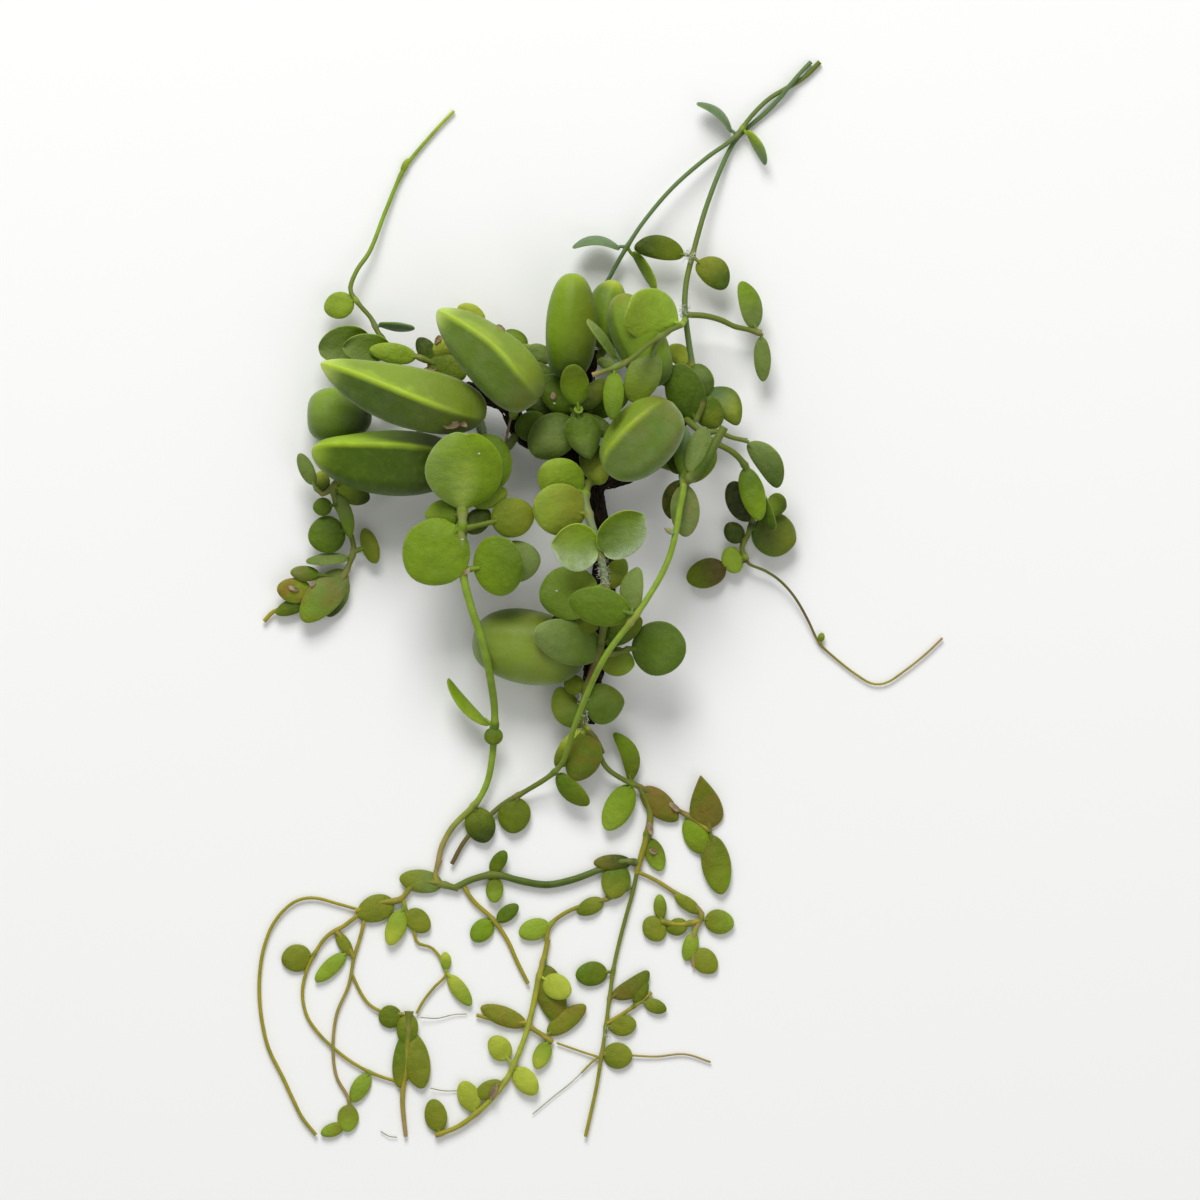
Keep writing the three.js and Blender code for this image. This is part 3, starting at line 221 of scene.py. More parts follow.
def addNode(tree, kind, inputs, **settings):
    node = tree.nodes.new("ShaderNode" + kind)
    for name, value in settings.items():
        setattr(node, name, value)
    return fill(tree, node, inputs)


def mixColours(tree, factor, first, second):
    return addNode(tree, "Mix", {0: factor, 6: first, 7: second}, data_type="RGBA").outputs[2]


def calculate(tree, operation, first, second):
    return addNode(tree, "Math", {0: first, 1: second}, operation=operation).outputs[0]


def times(tree, first, second):
    return calculate(tree, "MULTIPLY", first, second)


def ramp(tree, value, low, high, outLow=0.0, outHigh=1.0):
    limits = {"Value": value, "From Min": low, "From Max": high, "To Min": outLow, "To Max": outHigh}
    return addNode(tree, "MapRange", limits, interpolation_type="SMOOTHSTEP").outputs["Result"]


def noiseOn(tree, scale, detail):
    spots = addNode(tree, "TexCoord", {}).outputs["Object"]
    return addNode(tree, "TexNoise", {"Vector": spots, "Scale": scale, "Detail": detail}).outputs["Fac"]


def newGroup(name, inputs, outputs):
    group = bpy.data.node_groups.new(name, "ShaderNodeTree")
    for labels, way in ((inputs, "INPUT"), (outputs, "OUTPUT")):
        for label in labels:
            kind = "Color" if label.endswith("Color") else "Float"
            group.interface.new_socket(label, in_out=way, socket_type="NodeSocket" + kind)
    return group, group.nodes.new("NodeGroupInput").outputs, group.nodes.new("NodeGroupOutput")


def useGroup(tree, group, inputs):
    return addNode(tree, "Group", inputs, node_tree=group).outputs


# two tones in soft patches
mottle, given, result = newGroup("mottle", ("Color", "Patch Color", "Scale", "Amount"), ("Color",))
patches = ramp(mottle, noiseOn(mottle, given["Scale"], 2.0), 0.35, 0.7)
strength = times(mottle, patches, given["Amount"])
fill(mottle, result, {"Color": mixColours(mottle, strength, given["Color"], given["Patch Color"])})

# the pale powder on the skin, thinner where it has been rubbed
waxBloom, given, result = newGroup("wax bloom", ("Color", "Wax Color", "Amount"), ("Color", "Roughness"))
rubbed = ramp(waxBloom, noiseOn(waxBloom, 200.0, 4.0), 0.34, 0.68, 0.5, 1.0)
grains = ramp(waxBloom, noiseOn(waxBloom, 2600.0, 1.0), 0.35, 0.65, 0.6, 1.0)
film = times(waxBloom, times(waxBloom, rubbed, grains), given["Amount"])
fill(waxBloom, result, {
    "Color": mixColours(waxBloom, film, given["Color"], given["Wax Color"]),
    "Roughness": ramp(waxBloom, film, 0.0, 0.6, 0.4, 0.7)})

# pores and shallow dents of a fleshy skin
skinRelief, given, result = newGroup("skin relief", ("Pores", "Dents"), ("Height",))
pores = times(skinRelief, noiseOn(skinRelief, 3200.0, 1.0), given["Pores"])
dents = times(skinRelief, noiseOn(skinRelief, 280.0, 2.0), given["Dents"])
fill(skinRelief, result, {"Height": calculate(skinRelief, "ADD", pores, dents)})

# Patches are a tone, how many in a metre, and how strong. Relief is in millimetres.
skins = {
    "leaf skin": {"patches": ("moss", 140.0, 0.22), "agePatches": 230.0, "flesh": 0.1, "sheen": 0.03,
                  "pores": 0.3, "dents": 1.0, "relief": 0.7},
    "pitcher skin": {"patches": ("deep", 110.0, 0.16), "agePatches": 150.0, "flesh": 0.1, "sheen": 0.05,
                     "pores": 0.3, "dents": 1.0, "relief": 0.34},
    "stem skin": {"patches": ("twig", 260.0, 0.35), "flesh": 0.08, "sheen": 0.06,
                  "pores": 0.6, "dents": 0.8, "relief": 0.2},
}
fleshLight = {"specular": 0.17, "soakColour": (0.9, 1.0, 0.25), "soakDepth": 1.2, "sheenRoughness": 0.4}
dryMatter = {"amount": 0.8, "roughness": 0.9, "specular": 0.2, "pores": 1.0, "dents": 2.0}


def newMaterial(name):
    material = bpy.data.materials.new(name)
    material.use_nodes = True
    return material, material.node_tree, material.node_tree.nodes["Principled BSDF"]


def readPaint(tree, name, output="Fac"):
    return addNode(tree, "Attribute", {}, attribute_name=name).outputs[output]


def addPatches(tree, colour, patchTone, scale, amount):
    return useGroup(tree, mottle, {
        "Color": colour, "Patch Color": tone(patchTone), "Scale": scale, "Amount": amount})["Color"]


def addRelief(tree, shader, pores, dents, relief):
    height = useGroup(tree, skinRelief, {"Pores": pores, "Dents": dents})["Height"]
    bump = addNode(tree, "Bump", {"Height": height, "Distance": relief * mm})
    fill(tree, shader, {"Normal": bump.outputs["Normal"]})


def makeSkin(name, addMarks):  # powder on top, and light that soaks in below
    skin = skins[name]
    material, tree, shader = newMaterial(name)
    colour = addMarks(tree, addPatches(tree, readPaint(tree, "skinTone", "Color"), *skin["patches"]))
    if "agePatches" in skin:
        patches = ramp(tree, noiseOn(tree, skin["agePatches"], 4.0), 0.38, 0.66)
        colour = mixColours(tree, times(tree, readPaint(tree, "flush"), patches), colour, tone("flush"))
    powdered = useGroup(tree, waxBloom, {
        "Color": colour, "Wax Color": tone("bloom"), "Amount": readPaint(tree, "bloom")})
    fill(tree, shader, {
        "Base Color": powdered["Color"], "Roughness": powdered["Roughness"],
        "Specular IOR Level": fleshLight["specular"], "Subsurface Weight": skin["flesh"],
        "Subsurface Radius": fleshLight["soakColour"], "Subsurface Scale": fleshLight["soakDepth"] * mm,
        "Sheen Weight": skin["sheen"], "Sheen Roughness": fleshLight["sheenRoughness"],
        "Sheen Tint": tone("bloom")})
    addRelief(tree, shader, skin["pores"], skin["dents"], skin["relief"])
    return material


def addRims(tree, colour):
    colour = addPatches(tree, colour, "lime", 620.0, 0.05)
    margin = ramp(tree, readPaint(tree, "rim"), 0.55, 0.95)
    return mixColours(tree, times(tree, margin, readPaint(tree, "edge")), colour, tone("rim"))


def addRidge(tree, colour):
    streaks = ramp(tree, noiseOn(tree, 420.0, 4.0), 0.45, 0.75, 0.0, 0.1)
    colour = mixColours(tree, streaks, colour, tone("fresh"))
    # painted highlight: a lime line along the ridge, spreading in patches onto the painted lit side
    fromRidge = readPaint(tree, "fromRidge")
    wander = ramp(tree, noiseOn(tree, 120.0, 2.0), 0.3, 0.7, -1.6, 1.6)
    spread = ramp(tree, calculate(tree, "ADD", fromRidge, wander), 0.2, 3.4, 0.42, 0.0)
    line = ramp(tree, fromRidge, 0.2, 1.6, 0.9, 0.0)
    highlight = calculate(tree, "MAXIMUM", times(tree, spread, readPaint(tree, "litSide")), line)
    return mixColours(tree, times(tree, highlight, readPaint(tree, "ridgeHighlight")), colour, tone("ridge"))


def addScars(tree, colour):
    return mixColours(tree, times(tree, readPaint(tree, "knuckle"), 0.4), colour, tone("tan"))


def makeDryMatter(name, first, second, scale, relief):
    material, tree, shader = newMaterial(name)
    fill(tree, shader, {
        "Base Color": addPatches(tree, tone(first), second, scale, dryMatter["amount"]),
        "Roughness": dryMatter["roughness"], "Specular IOR Level": dryMatter["specular"]})
    addRelief(tree, shader, dryMatter["pores"], dryMatter["dents"], relief)
    return material


leafSkin = makeSkin("leaf skin", addRims)
pitcherSkin = makeSkin("pitcher skin", addRidge)
stemSkin = makeSkin("stem skin", addScars)
bark = makeDryMatter("bark", "wood", "bark", 300.0, 0.6)
fibreSkin = makeDryMatter("root fibre", "wood", "fibre", 500.0, 0.3)
scrapSkin = makeDryMatter("dried leaf", "driedBrown", "driedPale", 400.0, 0.4)
threadSkin = makeDryMatter("dry thread", "pale", "driedPale", 260.0, 0.2)
woolSkin = makeDryMatter("wool", "wool", "bloom", 600.0, 0.1)
print("materials made")

# Stems are rounded tubes that swell where leaves sit
stemForm = {
    "step": 1.4,
    "sideSteps": 2,
    "ripple": 0.06,
    "knuckleReach": 1.2,
    "knuckleSwell": 0.34,
    "petiole": 0.5,
    "coinPetiole": 0.8,
    "petioleFlare": 1.3,
    "petioleSink": 0.14,  # share of the blade that the stalk runs into
    "bloom": 0.05,
}


def stem(path, radii, colours="", slim=1.0):  # tones from its root to its tip
    return {"path": path, "radii": [slim * radius for radius in radii], "tones": colours.split()}


def drawTubes(name, tubes, sideSteps):  # each tube is a list of (place, radius)
    curve = bpy.data.curves.new(name, "CURVE")
    curve.dimensions = "3D"
    curve.bevel_depth = mm
    curve.bevel_resolution = sideSteps
    curve.use_fill_caps = True
    for tube in tubes:
        spline = curve.splines.new("POLY")
        spline.points.add(len(tube) - 1)
        for point, (place, radius) in zip(spline.points, tube):
            point.co = (*(place * mm), 1.0)
            point.radius = radius
    piece = bpy.data.objects.new(name, curve)
    bpy.context.collection.objects.link(piece)
    makeActive(piece)
    bpy.ops.object.convert(target="MESH")
    return bpy.context.object


def buildStems(node, stems, roots, petioles):
    tubes = []
    marks = []  # place, colour and how near a knuckle, for painting
    for run in stems:
        path = smoothPath(run["path"], stemForm["step"])
        colours = [tone(name) for name in run["tones"]]
        if len(colours) == 1:
            colours *= 2
        tube = []
        for i, place in enumerate(path):
            share = i / (len(path) - 1)
            away = min([(place - root).length for root in roots] or [99.0])
            knuckle = math.exp(-(away / stemForm["knuckleReach"]) ** 2)
            ripple = 1 + stemForm["ripple"] * noise.noise(place * 0.5)
            swell = ripple * (1 + stemForm["knuckleSwell"] * knuckle)
            tube.append((place, along(run["radii"], share) * swell))
            cell = min(int(share * (len(colours) - 1)), len(colours) - 2)
            shade = blendTones(colours[cell], colours[cell + 1], share * (len(colours) - 1) - cell)
            marks.append((place, shade, knuckle))
        tubes.append(tube)
    for tube, colour in petioles:
        tubes.append(tube)
        marks += [(place, colour, 0.0) for place, radius in tube]
    piece = drawTubes(node + "_stems", tubes, stemForm["sideSteps"])
    tree = kdtree.KDTree(len(marks))
    for i, (place, shade, knuckle) in enumerate(marks):
        tree.insert(place * mm, i)
    tree.balance()
    found = [marks[tree.find(vertex.co)[1]] for vertex in piece.data.vertices]
    paintTone(piece.data, [shade for place, shade, knuckle in found])
    paint(piece.data, "knuckle", [knuckle for place, shade, knuckle in found])
    paint(piece.data, "bloom", stemForm["bloom"])
    finishPiece(piece, stemSkin, node)


# Leaves are fleshy lenses with a rounded edge
leafForm = {
    "segments": 14,
    "rings": 10,
    "thickness": 1.9,
    "smallThickness": 1.5,
    "smallWidth": 9.3,
    "edgeRound": 0.86,  # under 1 makes the edge fuller
    "rootPower": 0.5,
    "plump": 0.3,
    "groove": 0.12,  # of the thickness, along the middle of the upper side
    "grooveWidth": 0.22,
    "wave": 0.042,  # of the width
    "waveScale": (1.2, 2.4),  # across and along
    "outline": 0.06,
    "foldHeight": 0.08,  # of the width, for a leaf creased along its length
    "foldReach": 0.5,
    "foldSoft": 0.08,
    "streakWidth": 0.16,
    "toneVary": 0.12,
    "toneSpan": (0.15, 0.95),  # where the root's tone gives way to the tip's
    "drift": (7.3, 3.1, 5.7),  # how far apart the leaves' noises lie
}
leafLooks = {  # what a leaf has unless its line says otherwise
    "roll": 0,  # degrees about its length
    "dome": 0.06,  # of the width, the sides lower than the middle
    "point": 0.55,
    "bow": 0,
    "bend": 0.03,  # of the length, the ends lower than the middle
    "bloom": 0.03, "bloomSide": 0.0,
    "flush": 0.0,
    "edge": 0.35,
    "fold": None, "foldTone": None, "streak": 0.0,
    "sideShade": 0.0,
}


def leaf(root, tip, width, stalk, colours, **looks):  # one tone, or one at the root and one at the tip, which carry the leaf's colour and painted light and shade along it
    names = colours.split()
    return {**leafLooks, "root": Vector(root), "tip": Vector(tip), "width": width, "stalk": stalk,
            "tones": (names[0], names[-1]), **looks}


def crownLeaf(*given, **looks):  # painted shade, darker towards the edges, where the leaves of the crown crowd
    return leaf(*given, sideShade=0.7, **looks)


def shapeLeaf(master, looks, root, seed):
    axis = looks["tip"] - root
    reach = axis.length
    axis.normalize()
    side, face = frameAlong(axis, math.radians(looks["roll"]))
    left = up.cross(axis).normalized()
    small = looks["width"] <= leafForm["smallWidth"]
    halfThick = (leafForm["smallThickness"] if small else leafForm["thickness"]) / 2
    blade = reach - looks["stalk"]
    drift = Vector([seed * step for step in leafForm["drift"]])
    vary = 1 + leafForm["toneVary"] * noise.noise(drift)
    first, last = [tone(name, vary) for name in looks["tones"]]
    foldTone = tone(looks["foldTone"] or looks["tones"][0])
    piece = copyMaster(master, "blade")
    rims, shades, blooms = [], [], []
    for vertex in piece.data.vertices:
        x, y, z = vertex.co
        share = min(max((z + 1) / 2, 0.0), 1.0)
        ring = math.hypot(x, y)
        turn = (x / ring, y / ring) if ring > 1e-4 else (0.0, 0.0)
        across, high = [math.copysign(abs(v) ** leafForm["edgeRound"], v) for v in turn]
        wide = looks["width"] / 2 * bulge(share, leafForm["rootPower"], looks["point"])
        thick = halfThick * bulge(share, leafForm["plump"], leafForm["plump"])
        ripple = Vector((across * leafForm["waveScale"][0], share * leafForm["waveScale"][1], 0))
        wave = noise.noise(drift + ripple) * leafForm["wave"]
        uneven = noise.noise(drift + Vector((math.copysign(3, across), share * 3, 9)))
        outline = 1 + leafForm["outline"] * uneven
        groove = math.exp(-(across / leafForm["grooveWidth"]) ** 2)
        groove = leafForm["groove"] * groove * (1 - share) * (high > 0)
        lift = thick * (high - groove) + looks["width"] * (wave - looks["dome"] * across ** 2)
        lift -= looks["bend"] * reach * (2 * share - 1) ** 2
        past = streak = 0.0
        if looks["fold"] is not None:
            fromFold = across - looks["fold"]
            past = smoothStep(fromFold, -leafForm["foldSoft"], leafForm["foldSoft"])
            streak = looks["streak"] * math.exp(-(fromFold / leafForm["streakWidth"]) ** 2) * (high > 0)
            slope = max(0.0, 1 - abs(fromFold) / leafForm["foldReach"])
            lift += leafForm["foldHeight"] * looks["width"] * slope
        spot = (root + axis * (looks["stalk"] + blade * share) + side * (across * wide * outline)
                + face * lift + left * (looks["bow"] * 4 * share * (1 - share)))
        vertex.co = spot * mm
        rims.append(1 - abs(high) * (4 * share * (1 - share)) ** 0.2)
        blooms.append(looks["bloom"] * max(1 + looks["bloomSide"] * across, 0.0) ** 2)
        shade = blendTones(first, last, smoothStep(share, *leafForm["toneSpan"]))
        # painted light and shade: the half past the crease takes another tone
        shade = blendTones(shade, foldTone, past)
        shade = blendTones(shade, tone("rim"), streak * smoothStep(1 - share, 0.1, 0.7))
        # painted shade: darker towards the edges by sideShade
        outwards = smoothStep(math.hypot(across, 2 * share - 1), 0.3, 1.0)
        shades.append(blendTones(shade, tone("moss"), looks["sideShade"] * outwards))
    paint(piece.data, "rim", rims)
    paint(piece.data, "flush", looks["flush"])
    paint(piece.data, "edge", looks["edge"])
    paint(piece.data, "bloom", blooms)
    paintTone(piece.data, shades)
    middle = root + axis * looks["stalk"]
    inside = middle + axis * (blade * stemForm["petioleSink"]) - face * (looks["bend"] * reach * 0.6)
    radius = stemForm["petiole" if small else "coinPetiole"]
    petiole = [(root, radius * stemForm["petioleFlare"]), (root.lerp(middle, 0.5), radius),
               (middle, radius), (inside, radius * 0.8)]
    return piece, (petiole, first)


def buildPlant(plant, master):
    node, slot = plant["node"], plant["slot"]
    places = [place for run in plant["stems"] for place in smoothPath(run["path"], stemForm["step"])]
    blades, petioles, roots = [], [], []
    for i, looks in enumerate(plant["leaves"]):
        roots.append(min(places, key=lambda place: (place - looks["root"]).length))
        blade, petiole = shapeLeaf(master, looks, roots[-1], i + len(node))
        blades.append(blade)
        petioles.append(petiole)
    buildStems(node, plant["stems"], roots, petioles)
    if blades:
        leaves = roundOff(joinPieces(blades, node + "_leaves"))
        finishPiece(frostAndSheenSides(leaves), leafSkin, node)


# Each stem gives its path, its radii and its tones.
# Each leaf gives where it sits, its tip, its width, the length of its stalk and its tones.
stemLeftFront = {"node": "stem_left_front", "slot": "coin_leaf", "stems": [
    stem([(-24.5, 50.5, 9), (-28, 45.5, 14), (-33, 42.4, 20), (-38, 38, 26), (-40.8, 31, 28.5),
          (-41, 24, 28.5), (-40.9, 8.3, 25.4), (-38.8, -1, 24.6), (-36.2, -9, 23), (-34.2, -16, 20.4),
          (-32.7, -24, 15.4), (-31.6, -33, 9), (-31.8, -40, 6), (-32.4, -47.5, 4.4), (-33.8, -54.5, 3.2),
          (-36.8, -60.5, 2.6), (-44.4, -68.4, 1.6), (-47.6, -74.3, 1.3), (-49, -80.5, 1.3)],
          [1.5, 1.4, 1.35, 1.2, 1], "twig pale apple apple apple apple tan", slim=0.88),
], "leaves": [
    leaf((-40.6, 26.4, 31), (-39.6, 49.8, 37.5), 24.2, 0.4, "leaf", bloom=0.14, bloomSide=-0.9, fold=0,
         streak=0.5, edge=0.3),
    leaf((-41, 23, 28.5), (-56.4, 6.6, 28), 21.4, 1.2, "leaf", bloom=0.06, edge=0.4),
    leaf((-41, 26, 28), (-52.5, 25.5, 21.5), 9.6, 1.5, "deep fresh"),
    leaf((-40.9, 20, 28), (-32.8, 26.8, 24), 7.4, 1.5, "shade"),
    leaf((-40.8, 8.8, 25), (-23.2, 11.4, 29.6), 19, 3, "leaf deep", point=0.5),
    leaf((-40.9, 9.5, 25), (-17.6, 12.6, 24), 13.2, 9, "olive grey", bloom=0.16),
    leaf((-41, 20.5, 28.5), (-19.4, 26.2, 25.6), 12.6, 9, "olive khaki"),
    leaf((-40.6, 31, 28), (-30.2, 49, 26.4), 18.8, 0.6, "deep"),
    leaf((-32.4, -38.4, 6.2), (-45.2, -23, 8.6), 6.4, 1.5, "fresh leaf", roll=58, bow=2),
    leaf((-31.6, -37.4, 6.8), (-32.2, -43.6, 8.2), 6, 1, "deep olive"),
    leaf((-38, -62, 2.4), (-34.2, -73, 2.4), 9.6, 0.6, "olive shade"),
    leaf((-41, 27.5, 27.6), (-27.4, 32.6, 24), 7, 3, "deep fresh"),
]}
stemCentre = {"node": "stem_centre", "slot": "coin_leaf", "stems": [
    stem([(0, 36, 9), (-3.4, 35, 17), (-4.4, 30, 23.5), (-2.4, 22, 26.4), (0, 14, 26), (1.5, 5, 24),
          (1.5, -5, 22), (0, -14, 19), (-2.6, -22, 15.6), (-5, -30, 12.6), (-5, -37, 10.4),
          (-1.4, -41.5, 8.6), (0.8, -46, 6.6)], [1.6, 1.4, 1.3, 1.2, 1.1, 0.9],
          "brown twig pale pale twig brown twig brown", slim=0.9),
    stem([(0, -15, 18.6), (3.6, -16.2, 17.6), (8.6, -14.6, 17.2)], [0.8, 0.8], "twig"),
], "leaves": [
    leaf((-4.4, 31, 22.5), (-17.6, 39.6, 27.4), 14, 1, "leaf fresh"),
    leaf((-3.4, 26, 25.4), (-19.8, 28.6, 30.4), 16.4, 0.6, "khaki fresh", bloom=0.08, edge=0.5,
         flush=0.12),
    leaf((0, 14.4, 26.4), (-15.2, 16.6, 34), 15, 1, "leaf fresh", dome=-0.14, bloom=0.6, bloomSide=-1,
         edge=1, bend=-0.05),
    leaf((0.6, 13, 26), (13.6, 25.8, 33), 14, 1.5, "deep leaf", dome=-0.17, bloom=0.55, bloomSide=0.9,
         edge=1, bend=-0.05),
    leaf((1.4, 4.6, 24), (-18.2, 0.6, 24.6), 16.8, 2, "fresh deep", bloom=0.1, edge=0.3),
    leaf((1.6, 3.4, 23.6), (7.4, 12.4, 23), 7, 1, "khaki fresh"),
    leaf((1.8, -17.6, 17.6), (-19.4, -9.4, 26.8), 14, 1, "deep grey", bloom=0.16, edge=0.3),
    leaf((8, -14.8, 17.4), (25.8, -14.2, 20), 17.2, 0.6, "deep", bloom=0.12, sideShade=0.5),
    leaf((0.4, -17, 17.6), (10.6, -19.6, 13), 9.3, 1, "olive fresh"),
    leaf((-5, -38.4, 10), (-13, -26.2, 8), 9.2, 0.8, "deep fresh", bow=1.4, flush=0.15, bloom=0.1),
    leaf((-5, -32.6, 11.4), (7.4, -30, 13), 13.2, 0.6, "deep olive", point=0.7, bloom=0.14, fold=0,
         foldTone="deep"),
    leaf((-3.4, -38, 9), (-7.6, -54.6, 7.6), 11.4, 0.5, "olive deep", bow=1.2, flush=0.3, bloom=0.05),
    leaf((-5, -38.6, 9.8), (-13.4, -50.4, 6), 7, 1, "lime olive"),
    leaf((1.2, -7.4, 21.4), (-15, -6.6, 21.6), 8.8, 1, "olive shade"),
    leaf((0.8, -13, 19.4), (12.6, -5.4, 19.4), 8, 1, "moss olive"),
    leaf((-3.6, -26, 14.2), (-11, -25.4, 11.4), 6.2, 1, "olive"),
]}
stemFront = {"node": "stem_front", "slot": "green_stem", "stems": [
    stem([(14, 42, 9), (20, 40, 17), (24.6, 37.6, 27), (24.8, 33, 31), (23.7, 27, 31.4),
          (22.6, 20.4, 31), (20.7, 13, 31), (17.8, 6.6, 31.4), (11.4, -3.6, 32), (2.2, -15.8, 29.4),
          (-3.4, -27, 22), (-7.7, -38, 15), (-11.1, -48.5, 9.6), (-14.6, -52.4, 6.6),
          (-22.3, -57.4, 3.2), (-29.2, -61.4, 1.8), (-35.4, -67, 1.4), (-40.4, -72, 1.3),
          (-44.6, -79.4, 1.2)], [1.3, 1.2, 1.1, 1.1, 1, 0.9, 0.8], "twig apple apple apple twig brown",
          slim=0.86),
    stem([(24.8, 35, 29.6), (28.9, 37.8, 31.2), (32.2, 42, 31.8), (34.3, 46.6, 31.6), (37, 51.4, 31)],
          [1.4, 1.3], "moss moss twig", slim=0.96),
], "leaves": [
    leaf((11.4, -4.4, 32.4), (-9.4, 0.2, 31.6), 12, 2, "deep", edge=0.55),
    leaf((10, -6.4, 31.6), (11, 10, 30), 7.8, 3, "grey", roll=-20, bow=1),
    leaf((24.8, 36.4, 30), (25.6, 18.6, 27.4), 9.2, 1, "grey", bloom=0.16, flush=0.3),
    leaf((24.8, 36.8, 29), (20.8, 24, 23.4), 8.8, 1, "shade", flush=0.2),
    leaf((24.4, 35.6, 26), (20.8, 45, 23), 6.2, 1, "shade"),
    leaf((25.4, 36.6, 29), (24.8, 52.4, 24.6), 6.2, 1, "deep blue"),
    leaf((27, 37.6, 30), (31.4, 52, 26), 7.6, 1, "grey"),
    leaf((25.6, 34.6, 29.4), (34.6, 45, 25), 8, 1, "olive deep"),
    leaf((-14, -51.6, 6.8), (-3.4, -61.8, 5.6), 6.8, 1, "deep olive", roll=20, bow=-0.6),
    leaf((-24.4, -58.4, 2.8), (-26.8, -70.2, 2.6), 10.4, 0.6, "olive"),
]}
stemRight = {"node": "stem_right", "slot": "shaded_leaf", "stems": [
    stem([(25, 57, 9), (26.4, 53.6, 16), (28.6, 51.6, 19.4), (32, 48.6, 20), (35.6, 46.4, 19.4),
          (39.4, 44.4, 18), (43, 40.8, 15.6), (46, 34, 12), (46.2, 26, 9), (44.6, 20, 6.6),
          (42.6, 15.6, 5), (44, 12, 4)], [1.3, 1.1, 1, 0.8], "twig", slim=0.9),
    stem([(31, 49.4, 20), (34.6, 50.4, 19.4), (39.4, 48.6, 18.6), (44, 47.6, 18)], [1.1, 0.8, 0.7],
          "twig", slim=0.9),
    stem([(43.4, 13.2, 4), (44.6, 11, 4), (49.6, 8.8, 3.6), (53.6, 6.2, 3.2), (57, 2.8, 2.8),
          (59.6, -0.8, 2.4), (62.6, -6.2, 1.8), (66, -13, 1.1), (70.6, -17.4, 0.8), (77, -22.4, 0.8),
          (82, -25.2, 0.8), (86, -24.9, 0.8), (92, -21, 0.8), (98, -16.2, 0.8), (103, -11.4, 0.8)],
          [0.65, 0.55, 0.5, 0.5], "twig brown gold tan", slim=0.7),
], "leaves": [
    leaf((43.6, 47.8, 18), (53.4, 33.4, 17), 8.6, 0.6, "grey moss", roll=18, bow=1.8, bloom=0.14,
         edge=0.6),
    leaf((44.4, 41, 14.6), (47.8, 23.8, 17), 7.8, 0.6, "deep leaf"),
    leaf((45.4, 22, 8.6), (39.2, 35.4, 11), 9, 0.6, "black"),
    leaf((46.4, 34, 12), (52, 20.8, 13.6), 6, 1, "deep moss", roll=40),
    leaf((46.6, 30.6, 10.4), (56, 27.6, 9), 7.4, 4, "fresh moss"),
    leaf((45.2, 21.6, 7.6), (59, 17.4, 5.4), 13.8, 0.6, "moss olive", flush=0.1, bloom=0.1),
    leaf((43, 16.8, 5.6), (38, 23, 6), 6.4, 0.6, "shade"),
    leaf((44, 14, 4.6), (36.6, 11, 4.4), 8.8, 0.6, "fresh"),
    leaf((43.6, 12, 4.2), (26, 6, 4.4), 9.2, 6.4, "plum olive"),
    leaf((66.2, -13.6, 1.3), (66.8, -9.8, 1.8), 2.2, 0.6, "khaki fresh"),
]}
stemLeft = {"node": "stem_left", "slot": "shaded_leaf", "stems": [
    stem([(-46, 63.4, 8.6), (-51, 55, 6.4), (-58, 46, 5), (-68, 39, 5.6), (-76, 36.6, 7.6),
          (-80, 34.4, 8), (-79.4, 30, 7.6), (-77.2, 24.4, 6.4), (-75, 20, 5.4), (-74, 15.4, 4.6),
          (-75.4, 10.6, 4), (-78, 6, 3.4), (-84, 1.6, 2.8), (-92, -2, 2), (-98, -3.4, 1.4),
          (-101, -6.4, 1)], [1.1, 1, 1, 0.9, 0.8, 0.7], "twig twig twig gold", slim=0.9),
    stem([(-80, 34.2, 8), (-83, 31.8, 8), (-85.4, 33.6, 8.4)], [0.9, 0.7], "twig", slim=0.9),
], "leaves": [
    leaf((-85.2, 33.4, 8.4), (-90.2, 44, 10), 4.8, 1, "grey"),
    leaf((-83.4, 32, 8.2), (-84, 38.8, 7.4), 5.6, 0.6, "shade lime"),
    leaf((-78.6, 28.4, 7.4), (-86.2, 27.6, 7.6), 5.8, 1.4, "moss deep"),
    leaf((-79.4, 34, 8), (-69, 30.2, 6), 7.4, 1, "fresh shade"),
    leaf((-75.6, 21.4, 5.6), (-87.6, 18.2, 6.4), 11.8, 1, "moss deep"),
    leaf((-79.8, 32, 7.8), (-75.2, 18.6, 9), 5.2, 0.6, "grey deep", roll=24, bow=1.2),
    leaf((-74.2, 14.8, 4.6), (-66.6, 17, 5), 11.6, 2.6, "olive khaki"),
    leaf((-74.8, 12.6, 4.4), (-88.4, 12, 6), 5.8, 1, "grey", roll=52),
    leaf((-77.4, 7.2, 3.8), (-93, 8.4, 5.6), 5, 7, "deep grey", flush=0.3),
    leaf((-84.4, 1.4, 3.2), (-97, 3.6, 5.4), 8, 2.6, "leaf khaki", flush=0.6),
    leaf((-76.8, 9, 4), (-89.4, -6.4, 5.6), 10.8, 0.6, "grey leaf", flush=0.3, bloom=0.1),
    leaf((-77, 8, 3.4), (-82, -5.2, 2.4), 7.6, 0.6, "grey shade"),
    leaf((-86.4, 0.4, 3), (-97.6, -4, 3), 5, 2, "moss olive"),
]}
